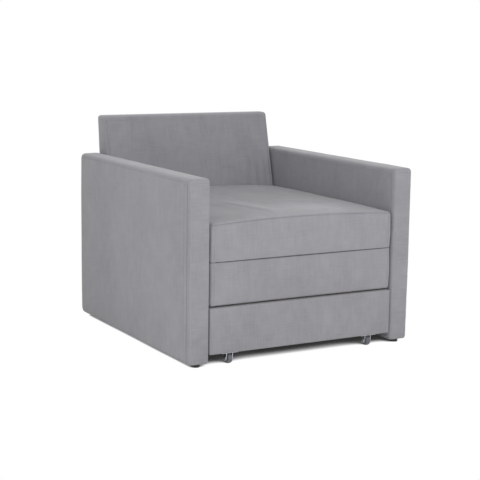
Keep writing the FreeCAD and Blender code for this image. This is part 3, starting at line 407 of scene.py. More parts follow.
def topstitch(name, piece, guides, body):
    corners = [vertex.co.copy() for vertex in piece.data.vertices]
    cover = bvhtree.BVHTree.FromPolygons(corners, [face.vertices for face in piece.data.polygons])
    points, faces = [], []
    for line in guides:
        found = [cover.find_nearest(Vector(point)) for point in line]
        for (here, rise, _, _), (there, _, _, _) in zip(found, found[1:]):
            run = there - here
            side = run.cross(rise).normalized()
            first = len(points)
            for share, girth, lift in THREAD_RINGS:
                centre = here + run * share + rise * (lift * MM)
                for turn in range(THREAD_SIDES):
                    angle = 2 * math.pi * turn / THREAD_SIDES
                    points.append(centre + (side * math.cos(angle) + rise * math.sin(angle))
                                  * (THREAD_RADIUS * girth))
            ring = list(range(THREAD_SIDES))
            for step in range(len(THREAD_RINGS) - 1):
                low, high = first + step * THREAD_SIDES, first + (step + 1) * THREAD_SIDES
                faces += [(low + k, low + (k + 1) % THREAD_SIDES, high + (k + 1) % THREAD_SIDES,
                           high + k) for k in ring]
            faces.append([first + k for k in reversed(ring)])
            faces.append([first + (len(THREAD_RINGS) - 1) * THREAD_SIDES + k for k in ring])
    rows = mesh_piece(name, [tuple(point) for point in points], faces)
    rows.data.materials.append(thread)
    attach(rows, body)
    print(name, len(points) // (THREAD_SIDES * len(THREAD_RINGS)), "stitches")


def sewing_thread():
    spun = Recipe("sewing_thread")
    place = spun.add("ShaderNodeTexCoord", {}, {}, "Object")
    twist = spun.noise(place, (1800, 1800, 1800), 2.0)
    return spun.finish(Base_Color=spun.mix(twist, cloth_grey(112), cloth_grey(150)),
                       Roughness=0.6 + twist * 0.2, Normal=spun.bump(twist, 0.0001, 0.4))


thread = sewing_thread()

# %% [markdown]
# Each arm is a slim box wrapped in one sleeve. A strip covers the top and is sewn to the side
# panels just below the upper edge, and a band over the front returns about 20 mm round the side,
# with a second line of stitches behind it. The sleeve is pulled tight over foam, so it swells by a
# millimetre or two only, and the front band has small puckers across it. The underside is cut flat
# where it turns in over the frame.

# %% Arms
ARM_ROUND = 12 * MM
ARM_REAR_ROUND = 22 * MM
ARM_CUT = 3 * MM                  # how much of the lower rounding is missing under the arm
BAND_RETURN = 20 * MM
SECOND_LINE = 44 * MM             # second line of stitches behind the arm's front
TOP_STRIP = 11 * MM               # from the arm's top down to the strip's seam
BESIDE = 3 * MM                   # a row of topstitching from its seam
ROW_START = 25 * MM               # where an upright row begins above the arm's foot
ARM_STEP = 7 * MM


def arm_painted_light(points, facing, low, high, sign):
    """Painted light on the outer face: lighter towards the front, darker low down at the rear."""
    ahead_share = (high[1] - points[:, 1]) / (high[1] - low[1])
    rise = (points[:, 2] - low[2]) / (high[2] - low[2])
    outside = smooth(facing[:, 0] * sign, 0.4, 0.8)
    painted_shades = 0.20 * smooth(ahead_share, 0, 0.75) - 0.04 - 0.16 * (1 - rise) * (1 - ahead_share)
    return painted_shades * outside


def arm_rows(low, high, band, second, strip):
    """Guides of the topstitching: below the strip, behind the band and across the front."""
    rows = []
    for face in (low[0], high[0]):
        rows.append(guide((face, second + 2 * STITCH, strip - BESIDE),
                          (face, high[1] - ARM_REAR_ROUND, strip - BESIDE)))
        for line in (band + BESIDE, second):
            rows.append(guide((face, line, low[2] + ROW_START), (face, line, strip - 2 * BESIDE)))
    rows.append(guide((low[0] + ARM_ROUND, low[1], strip - BESIDE),
                      (high[0] - ARM_ROUND, low[1], strip - BESIDE)))
    return rows


def arm_relief(points, facing, low, high, seams, sign):
    """Swell, seams and puckers of an arm's sleeve, in millimetres."""
    band, second, strip = seams
    x, y, z = points.T
    middle = (low[0] + high[0]) / 2
    on_side = smooth(np.abs(facing[:, 0]), 0.4, 0.8)
    on_front = smooth(-facing[:, 1], 0.4, 0.9)
    on_top = smooth(facing[:, 2], 0.5, 0.95)
    height = 0.9 * np.sin(np.pi * np.clip((z - low[2]) / (high[2] - low[2]), 0, 1)) * on_side
    height += 0.5 * bell(x - middle, 24 * MM) * (on_front + on_top)
    height += seam(z - strip, 1.1, 1.5, 0.7) * (1 - on_top) * (y > band - 1 * MM)
    height += seam(z - strip, 1.1, 1.4, 0.4) * on_front
    height += seam(y - band, 1.6, 1.9, 0.9) * on_side * (z < strip)
    height += seam(y - second, 0.6, 1.3, 0.35) * on_side * (z < strip)
    edge = smooth(facing[:, 0] * -facing[:, 1] * sign, 0.0, 0.5)
    height += 0.35 * bell(y - low[1], 5 * MM) * edge
    pucker = wavy(points, (0.11, 0.06, 0.011), 1 + sign)
    near_band = on_front + bell(y - band, 14 * MM) * on_side
    height += 0.6 * pucker * near_band * smooth(strip - z, 0, 30 * MM)
    drawn = wavy(points, (0.2, 0.013, 0.09), 4 + sign)
    height += 0.45 * drawn * on_side * bell(z - strip, 45 * MM) * smooth(y, band, band + 20 * MM)
    height += 0.35 * drawn * on_side * bell(z - low[2], 50 * MM)
    height += 0.9 * wavy(points, (0.3, 0.21, 0.17), 7 + sign) * on_side
    height += 0.6 * wavy(points, (0.05, 0.07, 0.09), 9 + sign) * (on_top + on_front)
    return height


def arm(side, sign):
    low, high = (np.array(end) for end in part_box(f"arm_cover_{side}"))
    floor_edge = low[2] - 0.5 * MM
    low[2] -= ARM_CUT
    band, second = low[1] + BAND_RETURN, low[1] + SECOND_LINE
    strip = high[2] - TOP_STRIP
    rear = ARM_REAR_ROUND
    lines = (grid_lines(low[0], high[0], (ARM_ROUND, ARM_ROUND), ARM_STEP),
             grid_lines(low[1], high[1], (ARM_ROUND, rear), ARM_STEP, [band, second]),
             grid_lines(low[2], high[2], (ARM_ROUND, rear), 4.5 * MM, [strip]))
    flat, numbers = block_points(lines)
    points, facing = laid_over_core(flat, low, high, ARM_ROUND, rear - ARM_ROUND, (1, 2),
                                    [(1, 1), (1, -1)])
    height = arm_relief(points, facing, low, high, (band, second, strip), sign)
    # Painted light and shade of the outer face, kept on the sleeve and added to its colour.
    painted_shades = arm_painted_light(points, facing, low, high, sign)
    points = points + facing * height[:, None] * MM
    points[:, 2] = np.maximum(points[:, 2], floor_edge)

    def front_band(face, centre):
        return (face in ("left", "right")) & (centre[:, 1] < band)

    piece = block_mesh(f"upholstered_arm_{side}", lines, points, numbers, ("front",), front_band)
    paint_light_and_shade(piece, painted_shades)
    dress(piece, "chair_frame", 0.9, f"arm_cover_{side}", f"arm_padding_{side}")
    rows = arm_rows(low, high, band, second, strip)
    topstitch(f"arm_stitches_{side}", piece, rows, "chair_frame")


for side, sign in SIDES:
    arm(side, sign)

# %% [markdown]
# The back is the same kind of block, but it leans: its front face leans more than its rear, so it is
# thicker at the foot. The block is shaped square and then sheared, the front half by one slope and
# the rear half by the other, which keeps the rounded edges round. A boxing strip runs round its edge
# with a double seam, and the cloth gathers into upright folds low down on one side, where a sitter
# pulls at it.

# %% Back
BACK_ROUND = 12 * MM
BACK_LEAN, BACK_REAR_LEAN = math.radians(13.8), math.radians(5.7)
BACK_TOP_DEPTH = 53 * MM
BOXING = 11 * MM                  # from the edge of the front face to its seam
SOFT_STRIP = 30 * MM              # a second, softer line inside the right hand edge
FOLDS = ((0.165, 1.0, 6, 0.50), (0.178, -1.1, 6, 0.50), (0.190, 1.4, 6, 0.52), (0.205, -1.6, 7, 0.53),
         (0.221, 1.8, 7, 0.54), (0.240, -2.0, 8, 0.57), (0.263, 2.4, 9, 0.60),
         (0.286, -1.8, 9, 0.60))  # place across, height in mm, width in mm, and where each fades out


def lean(points, low, high):
    """Shear a square block into the wedge that the back is."""
    drop = high[2] - points[:, 2]
    share = smooth(points[:, 1], low[1] + BACK_ROUND, high[1] - BACK_ROUND)
    shift = drop * (math.tan(BACK_LEAN) * (1 - share) + math.tan(BACK_REAR_LEAN) * share)
    return points - np.outer(shift, (0, 1, 0))


def back():
    low, high = (np.array(end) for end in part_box("back_cover"))
    low[1] = high[1] - BACK_TOP_DEPTH
    seams_x = [low[0] + BOXING, high[0] - BOXING, high[0] - SOFT_STRIP]
    seam_top = high[2] - BOXING
    lines = (grid_lines(low[0], high[0], (BACK_ROUND, BACK_ROUND), 4.5 * MM, seams_x),
             grid_lines(low[1], high[1], (BACK_ROUND, BACK_ROUND), 7 * MM),
             grid_lines(low[2], high[2], (BACK_ROUND, BACK_ROUND), 7 * MM, [seam_top]))
    flat, numbers = block_points(lines)
    points, facing = laid_over_core(flat, low, high, BACK_ROUND)
    x, y, z = points.T
    on_front = smooth(-facing[:, 1], 0.3, 0.9)
    on_rear = smooth(facing[:, 1], 0.3, 0.9)
    across = np.clip((x - low[0]) / (high[0] - low[0]), 0, 1)
    rise = np.clip((z - low[2]) / (high[2] - low[2]), 0, 1)
    height = (1.6 * on_front + 0.8 * on_rear) * np.sin(np.pi * across) * np.sin(np.pi * rise)
    inside = smooth(high[2] - z, BOXING * 0.6, BOXING)
    for line in seams_x[:2]:
        height += seam(x - line, 1.9, 2.1, 1.1) * (on_front + on_rear) * inside
    height += seam(z - seam_top, 1.1, 1.5, 0.6) * (on_front + on_rear)
    height += -1.2 * smooth(x, high[0] - SOFT_STRIP - 8 * MM, high[0] - SOFT_STRIP) * on_front
    height += 1.4 * bell(x - (high[0] - SOFT_STRIP * 0.55), 9 * MM) * on_front
    for place, tall, wide, fade in FOLDS:
        bend = 4 * MM * np.sin((z - 0.45) * 24 + place * 50)
        reach = smooth(fade - z, 0, 0.09)
        height += tall * bell(x - place - bend, wide * MM) * reach * on_front
    height += 1.2 * wavy(points, (0.16, 0.3, 0.14), 21) * (on_front + on_rear)
    gather = wavy(points, (0.016, 0.3, 0.16), 22)
    height += 0.45 * gather * bell(z - high[2], 60 * MM) * on_front
    height += 0.5 * gather * bell(z - low[2] - 0.12, 90 * MM) * on_front
    points = lean(points + facing * height[:, None] * MM, low, high)
    piece = block_mesh("upholstered_back", lines, points, numbers)
    dress(piece, "chair_frame", 0.85, "back_cover", "back_foam")

    rows = []
    for face in (low[1], high[1]):
        for line in (seams_x[0] + BESIDE, seams_x[1] - BESIDE):
            rows.append(guide((line, face, low[2] + 15 * MM), (line, face, seam_top - BESIDE)))
        rows.append(guide((seams_x[0] + BESIDE, face, seam_top - BESIDE),
                          (seams_x[1] - BESIDE, face, seam_top - BESIDE)))
    rows = [lean(row, low, high) for row in rows]
    topstitch("back_stitches", piece, rows, "chair_frame")


back()

# %% [markdown]
# The seat is two loose cushions of the same size. A cushion is a bag: sewn along its edges and pushed
# out by what fills it, so its faces swell between the seams and its sides pull in between the
# corners. That is what the cloth simulation is for. A coarse block with its seams pinned is blown up
# by a little pressure, and how far each point moved is then read off by the fine block, which keeps
# its narrow grooves.

# %% Swelling by cloth simulation
SWELL_FRAMES = 20
SWELL_PRESSURE = 4.0
NEIGHBOURS = 4


def swell_moves(name, lines, points, numbers, held, cap):
    """How far each point of a coarse block moves when it is filled; held is 1 on seams."""
    bag = block_mesh(name, lines, points, numbers)
    pins = bag.vertex_groups.new(name="seams")
    for index, hold in enumerate(held):
        if hold > 0:
            pins.add([index], float(hold), "REPLACE")
    cloth = bag.modifiers.new("cloth", "CLOTH")
    settings = cloth.settings
    settings.use_pressure = True
    settings.uniform_pressure_force = SWELL_PRESSURE
    settings.vertex_group_mass = "seams"
    settings.effector_weights.gravity = 0
    settings.tension_stiffness = settings.compression_stiffness = 12
    settings.bending_stiffness = 1.5
    cloth.point_cache.frame_end = SWELL_FRAMES
    for step in range(1, SWELL_FRAMES + 1):
        bpy.context.scene.frame_set(step)
    blown = bag.evaluated_get(bpy.context.evaluated_depsgraph_get()).data
    after = np.array([vertex.co for vertex in blown.vertices])
    moves = after - points
    length = np.linalg.norm(moves, axis=1)
    moves *= (cap * np.tanh(length / cap) / np.maximum(length, 1e-9))[:, None]
    bpy.context.scene.frame_set(1)
    bpy.data.objects.remove(bag)
    print(name, "swells by up to", round(float(np.linalg.norm(moves, axis=1).max()) / MM, 1), "mm")
    return moves


def read_moves(coarse, moves, fine):
    """Moves of the fine points, as a weighted mean of their nearest coarse neighbours."""
    tree = kdtree.KDTree(len(coarse))
    for index, point in enumerate(coarse):
        tree.insert(point, index)
    tree.balance()
    out = np.zeros_like(fine)
    for index, point in enumerate(fine):
        found = tree.find_n(point, NEIGHBOURS)
        weights = np.array([1 / (distance + 1 * MM) ** 2 for _, _, distance in found])
        out[index] = weights @ moves[[number for _, number, _ in found]] / weights.sum()
    return out


# %% [markdown]
# Both cushions share one form. From above, their corners are rounded by about 9 mm. Seen from the side,
# the front and rear faces belly out by 3 mm, and the front pulls in by 2 mm between its corners. The
# two edges that meet at the fold between the cushions are cut nearly square, so that the fold is a
# thin dark line and not a valley. The upper cushion is crowned, its top sinks towards both sides as a
# filled bag does, and its rear follows the back. When the seat flips over, its front face meets the
# front of the lower cushion, so both are pressed in until they stay behind the plane between them.

# %% Cushion form
CUSHION_ROUND = 8 * MM
CUSHION_CORNER = 8.5 * MM
FOLD_CUT = 5 * MM
BULGE, DRAW = 3 * MM, 2 * MM
SIDE_EASE = 2.5 * MM              # the filled bag is this much short of its solid at each side
CUSHION_CORNERS = [(-1, -1), (1, -1), (-1, 1), (1, 1)]
SINK_SHARE = 0.5
TOP_SINK = 20 * MM                # rounding at both ends of the seat's front edge
FOLD_SINK = 5 * MM                # rounding at both ends of the fold between the cushions
CORNER_SEAM = 10 * MM             # from the side to the upright seam on the front
FLIP_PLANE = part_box("lower_cushion_cover")[0][1]
FRONT_EASE = 2 * MM               # the front faces stay behind the plane where they meet
STITCH_ROOM = 1 * MM              # and so do the stitches on them


def behind_flip_plane(points):
    """Front faces pressed in smoothly, so that they meet without crossing when the seat flips."""
    room = points[:, 1] - FLIP_PLANE - STITCH_ROOM
    pressed = FRONT_EASE * np.exp(np.minimum(room, FRONT_EASE) / FRONT_EASE - 1)
    points[:, 1] += np.where(room < FRONT_EASE, pressed - room, 0)
    return points


def quarter(gap, radius):
    """How far a quarter circle has fallen, from nothing at one radius inside to all at the side."""
    return radius - np.sqrt(radius ** 2 - np.clip(radius - gap, 0, radius) ** 2)


class Cushion:
    """One seat cushion: its grid, its rounded form and its crown."""

    def __init__(self, node, cut_low, cut_high, rear_low, rear_high, crown, sinks):
        low, high = (np.array(end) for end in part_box(node))
        half = -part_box("front_panel_cover")[0][0] - SIDE_EASE
        low[0], high[0] = -half, half
        low[1] = FLIP_PLANE + FRONT_EASE
        self.corner_seams = [CORNER_SEAM - half, half - CORNER_SEAM]
        self.node = node
        self.floor = low[2]
        self.edge = high[2] - sum(crown)
        self.rears = (rear_low, rear_high)
        self.crown = crown
        self.sinks = sinks
        high[1] = max(self.rears)
        high[2] = self.edge + cut_high
        low[2] -= cut_low
        self.low, self.high = low, high

    def lines(self, step, seams=((), (), ())):
        rounds = ((CUSHION_CORNER,) * 2, (CUSHION_CORNER,) * 2, (CUSHION_ROUND,) * 2)
        return tuple(grid_lines(self.low[a], self.high[a], rounds[a], step, seams[a])
                     for a in range(3))

    def form(self, flat):
        points, facing = laid_over_core(flat, self.low, self.high, CUSHION_ROUND,
                                        CUSHION_CORNER - CUSHION_ROUND, (0, 1), CUSHION_CORNERS)
        points[:, 2] = np.clip(points[:, 2], self.floor, self.edge)
        x, y, z = points.T
        across = x / self.high[0]
        rise = np.clip((z - self.floor) / (self.edge - self.floor), 0, 1)
        depth = np.clip((y - self.low[1]) / (self.high[1] - self.low[1]), 0, 1)
        rear = self.rears[0] + (self.rears[1] - self.rears[0]) * rise
        draw = DRAW * (1 - across ** 2) + BULGE * (1 - np.sin(np.pi * rise))
        to_rear = smooth(depth, 0.1, 1)
        to_front = 1 - smooth(depth, 0, 0.5)
        y = y + (rear - self.high[1] - draw) * to_rear + draw * to_front
        crown = (self.crown[0] * (1 - across ** 2)
                 + self.crown[1] * (1 - (2 * depth - 1) ** 2))
        gap = self.high[0] - np.abs(x)
        lifted, sunk = self.sinks
        z = z + (crown - quarter(gap, sunk) * SINK_SHARE) * rise
        z = z + quarter(gap, lifted) * (1 - rise)
        return np.stack([x, y, z], 1), facing


BACK_FRONT_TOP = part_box("back_cover")[1][1] - BACK_TOP_DEPTH
BACK_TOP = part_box("back_cover")[1][2]
CUSHION_GAP = 4 * MM


def before_back(z):
    """Where a cushion ends at a height, so that it leaves the back its room."""
    return BACK_FRONT_TOP - (BACK_TOP - z) * math.tan(BACK_LEAN) - CUSHION_GAP


UPPER_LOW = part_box("upper_cushion_cover")[0][2]
CROWN_ACROSS, CROWN_ALONG = 11.5 * MM, 3 * MM
upper_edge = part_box("upper_cushion_cover")[1][2] - CROWN_ACROSS - CROWN_ALONG
upper = Cushion("upper_cushion_cover", FOLD_CUT, 0.0, before_back(UPPER_LOW),
                before_back(upper_edge), (CROWN_ACROSS, CROWN_ALONG), (FOLD_SINK, TOP_SINK))
rear_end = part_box("rear_panel")[0][1] - CUSHION_GAP
lower = Cushion("lower_cushion_cover", 0.0, FOLD_CUT, rear_end, rear_end, (0.0, 0.0),
                (FOLD_SINK, FOLD_SINK))
print("seat edge", round(upper.edge, 4), "seat crown", round(upper.edge + sum(upper.crown), 4))

# %% [markdown]
# A coarse copy of each cushion is filled, with its edges held where the seams run and its underside
# held flat where it rests. The face then swells a few millimetres between the seams.

# %% Fill the cushions
COARSE_STEP = 16 * MM
CUSHION_STEP = 6 * MM
CUSHION_ROW_END = 12 * MM         # a row of stitches stops this far from the cushion's edges
SWELL_CAP = 4 * MM


def filled(cushion, points):
    """The swelling of the fine points."""
    lines = cushion.lines(COARSE_STEP)
    coarse_flat, numbers = block_points(lines)
    coarse, _ = cushion.form(coarse_flat)
    outer = np.array([(coarse_flat[:, a] < cushion.low[a] + CUSHION_ROUND * 0.9)
                      | (coarse_flat[:, a] > cushion.high[a] - CUSHION_ROUND * 0.9)
                      for a in range(3)])
    resting = coarse_flat[:, 2] < cushion.low[2] + CUSHION_ROUND * 0.9
    held = np.where((outer.sum(0) > 1) | resting, 1.0, 0.0)
    moves = swell_moves(cushion.node.replace("cover", "filling"), lines, coarse, numbers, held,
                        SWELL_CAP)
    return read_moves(coarse, moves, points)


def dress_cushion(cushion, name, body, relief, seams, nap=None):
    lines = cushion.lines(CUSHION_STEP, seams)
    flat, numbers = block_points(lines)
    points, facing = cushion.form(flat)
    points = points + filled(cushion, points)
    points = behind_flip_plane(points + facing * relief(points, facing)[:, None] * MM)
    points[:, 2] = np.maximum(points[:, 2], cushion.floor)
    if not sum(cushion.crown):
        points[:, 2] = np.minimum(points[:, 2], cushion.edge)
    piece = block_mesh(name, lines, points, numbers)
    # A cushion may carry painted light and shade, which is added to its cloth's colour.
    if nap is not None:
        paint_light_and_shade(piece, nap(points, facing))
    core = cushion.node.replace("cover", "core")
    dress(piece, body, 0.8, cushion.node, core)
    rows = []
    for line in (cushion.corner_seams[0] + BESIDE, cushion.corner_seams[1] - BESIDE):
        rows.append(guide((line, cushion.low[1], cushion.floor + CUSHION_ROW_END),
                          (line, cushion.low[1], cushion.edge - CUSHION_ROW_END)))
    topstitch(name.replace("dressed", "stitches"), piece, rows, body)


# %% [markdown]
# The upper cushion carries the marks of the real one: a seam just below the front of its top, a
# double seam at each front corner and one soft diagonal crease in from the left. Along the crease
# run painted shade and a painted highlight, and beyond it lies a painted pool of light. Small puckers
# gather where the fold's stitching ends.

# %% Upper cushion
TOP_SEAM = 7 * MM
CREASES = ((-2.4, 9, (-0.15, -0.08), (-0.095, -0.42)),
           (2.2, 14, (-0.125, -0.08), (-0.070, -0.42)),
           (0.9, 16, (0.02, -0.16), (0.27, -0.25)))       # height and width in mm, and both ends
# Painted light and shade on the seat's top: a highlight and a shade beside the crease, and a pool of
# light.
PAINTED_CREASE_SHADES = ((0.12, 30, (-0.10, -0.08), (-0.045, -0.44)),
           (-0.14, 40, (-0.18, -0.08), (-0.125, -0.42)))  # shade, width in mm, and both ends
PAINTED_LIGHT_PLACE, PAINTED_LIGHT_REACH = (0.08, -0.36), (0.16, 0.085)


def crease(points, start, end, width):
    """A soft line between two places seen from above, fading at its ends."""
    start, end = np.array(start), np.array(end)
    run = end - start
    length = np.linalg.norm(run)
    run = run / length
    away = points[:, :2] - start
    along = away @ run
    aside = away @ np.array((-run[1], run[0]))
    fade = smooth(along, 0, 0.25 * length) * (1 - smooth(along, 0.75 * length, length))
    return bell(aside, width) * fade


def upper_relief(points, facing):
    x, y, z = points.T
    on_front = smooth(-facing[:, 1], 0.4, 0.9)
    on_top = smooth(facing[:, 2], 0.4, 0.9)
    side = np.abs(x) - upper.corner_seams[1]
    crown = CROWN_ACROSS * (1 - (x / upper.high[0]) ** 2)
    below_top = upper.edge + crown - z
    height = seam(side, 1.0, 1.3, 0.8) * on_front
    left = 1 - smooth(x, -0.15, 0.05)
    height += (0.6 + 1.4 * left) * bell(below_top - 4 * MM, 4 * MM) * on_front
    height += (0.6 + 0.4 * left) * seam(below_top - TOP_SEAM, 2.6, 2.8, 0.8) * on_front
    for tall, wide, start, end in CREASES:
        height += tall * crease(points, start, end, wide * MM) * on_top
    height += 1.2 * wavy(points, (0.15, 0.12, 0.2), 31) * on_top
    height += 0.7 * wavy(points, (0.14, 0.2, 0.07), 32) * on_front
    pucker = wavy(points, (0.03, 0.1, 0.010), 33)
    height += 0.8 * pucker * bell(side, 14 * MM) * bell(z - upper.floor, 25 * MM) * on_front
    tuck = wavy(points, (0.02, 0.3, 0.3), 34)
    height += 0.9 * tuck * bell(z - upper.floor, 9 * MM) * left * on_front
    return height


def upper_painted_light(points, facing):
    """Painted light and shade on the seat: a pool of light behind the front edge, shade at the rear."""
    x, y, z = points.T
    on_top = smooth(facing[:, 2], 0.4, 0.9)
    on_front = smooth(-facing[:, 1], 0.4, 0.9)
    below_top = upper.edge + CROWN_ACROSS * (1 - (x / upper.high[0]) ** 2) - z
    # Painted shade in the groove of the front seam, and a painted highlight on the ridge above it.
    edge = 0.10 * bell(below_top - 1 * MM, 3 * MM) - 0.26 * bell(below_top - TOP_SEAM, 2.5 * MM)
    # A painted pool of light on the top, behind the front edge.
    pale = 0.42 * bell(x - PAINTED_LIGHT_PLACE[0], PAINTED_LIGHT_REACH[0]) * bell(y - PAINTED_LIGHT_PLACE[1], PAINTED_LIGHT_REACH[1])
    # Painted highlight on one side of the crease and painted shade on the other.
    painted_crease_highlight, dark = (shade * crease(points, start, end, wide * MM)
                     for shade, wide, start, end in PAINTED_CREASE_SHADES)
    # Painted shade at the rear of the seat, where the back shades it.
    rear = -0.26 * smooth(y, -0.46, -0.38) - 0.22 * smooth(y, -0.30, 0.10)
    # The front face is painted a little lighter too.
    return (pale + painted_crease_highlight + dark + rear) * on_top + (0.07 + edge) * on_front


dress_cushion(upper, "upper_cushion_dressed", "upper_cushion", upper_relief,
              (upper.corner_seams, (), [upper.edge - TOP_SEAM]), upper_painted_light)

# %% [markdown]
# The lower cushion is plainer. Its corner seams line up with those above, a slack wrinkle runs down
# from its upper left corner, and the cloth puckers beside the knots at both ends of the fold.

# %% Lower cushion
WRINKLE_START = np.array((-0.285, 0.283))    # across and up, seen from the front
WRINKLE_RUN = np.array((0.075, 0.020))


def lower_relief(points, facing):
    x, y, z = points.T
    on_front = smooth(-facing[:, 1], 0.4, 0.9)
    side = np.abs(x) - lower.corner_seams[1]
    height = seam(side, 0.9, 1.3, 0.7) * on_front
    length = np.linalg.norm(WRINKLE_RUN)
    away = points[:, [0, 2]] - WRINKLE_START
    along = away @ WRINKLE_RUN / length
    aside = (away[:, 1] * WRINKLE_RUN[0] - away[:, 0] * WRINKLE_RUN[1]) / length
    fade = smooth(along, -0.02, 0.02) * (1 - smooth(along, 0.06, 0.11))
    height += (1.6 * bell(aside - 5 * MM, 5 * MM) - 1.8 * bell(aside, 4 * MM)) * fade * on_front
    height += 0.8 * wavy(points, (0.12, 0.2, 0.06), 41) * on_front
    pucker = wavy(points, (0.05, 0.1, 0.009), 42)
    height += 0.9 * pucker * bell(side, 12 * MM) * bell(z - lower.edge, 45 * MM) * on_front
    tuck = wavy(points, (0.018, 0.3, 0.3), 43)
    height += 0.7 * tuck * bell(z - lower.edge, 10 * MM) * (1 - smooth(x, -0.2, 0.1)) * on_front
    return height


dress_cushion(lower, "lower_cushion_dressed", "chair_frame", lower_relief,
              (lower.corner_seams, (), ()))

# %% [markdown]
# Between the cushions, one strip of backing cloth is sewn flat to the lower one, turns over at the
# front and is sewn flat under the upper one. It is the hinge of the bed. The strip is drawn once,
# already folded round its turn.

# %% Hinge cloth
def hinge_cloth():
    weave = Recipe("hinge_weave")
    place = weave.add("ShaderNodeTexCoord", {}, {}, "Object")
    axes = [weave.add("ShaderNodeSeparateXYZ", {}, {"Vector": place}, axis) for axis in (0, 1)]
    waves = [weave.add("ShaderNodeMath", {"operation": "SINE"}, {0: axis * 5200.0}) for axis in axes]
    yarn = weave.noise(place, (700, 700, 700), 2.0)
    cross = waves[0] * waves[1] * 0.3 + yarn
    return weave.finish(Base_Color=weave.mix(cross, tint(66, 65, 70), tint(104, 103, 108)),
                        Roughness=0.9 - yarn * 0.1, Normal=weave.bump(cross, 0.0002, 0.6))


HINGE_STEPS, TURN_STEPS, HINGE_COLUMNS = 8, 5, 60


def hinge_strip():
    low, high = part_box("hinge_leaf_lower")
    above_low, above_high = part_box("hinge_leaf_upper")
    below, above = (low[2] + high[2]) / 2, (above_low[2] + above_high[2]) / 2
    middle, radius = (below + above) / 2, (above - below) / 2
    profile = [(y, below) for y in np.linspace(high[1], low[1], HINGE_STEPS)]
    profile += [(low[1] - radius * math.cos(turn), middle + radius * math.sin(turn))
                for turn in np.linspace(-math.pi / 3, math.pi / 3, TURN_STEPS)]
    profile += [(y, above) for y in np.linspace(low[1], high[1], HINGE_STEPS)]
    columns = np.linspace(low[0], high[0], HINGE_COLUMNS)
    points = [(x, y, z) for x in columns for y, z in profile]
    per = len(profile)
    faces = [(a * per + b, (a + 1) * per + b, (a + 1) * per + b + 1, a * per + b + 1)
             for a in range(HINGE_COLUMNS - 1) for b in range(per - 1)]
    strip = mesh_piece("hinge_strip", points, faces)
    strip.data.materials.append(hinge_cloth())
    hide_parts("hinge_leaf_lower", "hinge_leaf_upper")
    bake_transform(strip)


hinge_strip()

# %% [markdown]
# The front panel is a board under a thin foam sheet, with the cloth drawn round it and stapled
# behind. Its edges are tight and its face is nearly flat. The panel that closes the base at the rear
# has only the cloth, stapled over its board, so it is a thin flat piece with a slight ripple.

# %% Front and rear panels
PANEL_ROUND = 5 * MM


def front_panel():
    low, high = (np.array(end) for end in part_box("front_panel_cover"))
    lines = tuple(grid_lines(low[a], high[a], (PANEL_ROUND,) * 2, 6 * MM) for a in range(3))
    flat, numbers = block_points(lines)
    points, facing = laid_over_core(flat, low, high, PANEL_ROUND)
    square = smooth(flat[:, 1], high[1] - PANEL_ROUND, high[1])[:, None]
    points = points * (1 - square) + np.clip(flat, low, high) * square
    x, y, z = points.T
    on_front = smooth(-facing[:, 1], 0.4, 0.9)
    rise = np.clip((z - low[2]) / (high[2] - low[2]), 0, 1)
    height = 1.2 * np.sin(np.pi * rise) * (1 - (x / high[0]) ** 4) * on_front
    height += 0.6 * wavy(points, (0.15, 0.2, 0.06), 51) * on_front
    edges = bell(z - low[2], 30 * MM) + bell(z - high[2], 20 * MM)
    height += 0.35 * wavy(points, (0.012, 0.1, 0.05), 52) * edges * on_front
    points = points + facing * height[:, None] * MM
    piece = block_mesh("front_panel_dressed", lines, points, numbers)
    dress(piece, "platform", 0.9, "front_panel_cover", "front_panel_padding")


def rear_panel():
    low, high = (np.array(end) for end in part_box("rear_panel_cover"))
    radius = (high[1] - low[1]) * 0.45
    lines = (grid_lines(low[0], high[0], (radius,) * 2, 8 * MM),
             np.linspace(low[1], high[1], 4),
             grid_lines(low[2], high[2], (radius,) * 2, 8 * MM))
    flat, numbers = block_points(lines)
    points, facing = laid_over_core(flat, low, high, radius)
    x, y, z = points.T
    outside = smooth(facing[:, 1], 0.4, 0.9)
    rise = np.clip((z - low[2]) / (high[2] - low[2]), 0, 1)
    height = 0.5 * wavy(points, (0.17, 0.2, 0.12), 61) * np.sin(np.pi * rise)
    edges = bell(z - low[2], 25 * MM) + bell(z - high[2], 25 * MM)
    height += 0.3 * wavy(points, (0.014, 0.1, 0.05), 62) * edges
    points = points + facing * (height * outside)[:, None] * MM
    piece = block_mesh("rear_panel_dressed", lines, points, numbers)
    dress(piece, "chair_frame", 0.1, "rear_panel_cover")


front_panel()
rear_panel()

# %% [markdown]
# Everything under the cloth keeps its solid and gets its finish. Softwood has pale fibres that run
# along the board, darker late growth and a knot here and there, so each recipe is told along which
# axis its board was sawn. Plywood and chipboard differ by their grain: long and thin, or a mosaic of
# chips.

# %% Timber
def object_place(recipe):
    return recipe.add("ShaderNodeTexCoord", {}, {}, "Object")


def stretched(along, slow, fast):
    """A scale that is small along one axis and large across it."""
    return tuple(slow if axis == along else fast for axis in "xyz")


def timber(name, along, pale=(214, 184, 142), dark=(176, 138, 96)):
    wood = Recipe(name)
    place = object_place(wood)
    growth = wood.noise(place, stretched(along, 1.6, 34), 3.0, 0.65)
    fibres = wood.noise(place, stretched(along, 9, 620), 2.0, 0.6)
    boards = wood.noise(place, stretched(along, 0.4, 9), 1.0)
    spread = wood.add("ShaderNodeMapping", {}, {"Vector": place, "Scale": stretched(along, 3.2, 17)})
    spots = wood.add("ShaderNodeTexVoronoi", {}, {"Vector": spread, "Scale": 1.0}, "Distance")
    knots = wood.ramp(spots, 0.05, 0.13, 1.0, 0.0)
    shade = growth * 0.9 + fibres * 0.35 + boards * 0.4 - 0.35 + knots * 0.8
    return wood.finish(Base_Color=wood.mix(shade, tint(*pale), tint(*dark)),
                       Roughness=0.62 + fibres * 0.2, Specular_IOR_Level=0.3,
                       Normal=wood.bump(fibres + growth * 0.5, 0.0004, 0.5))


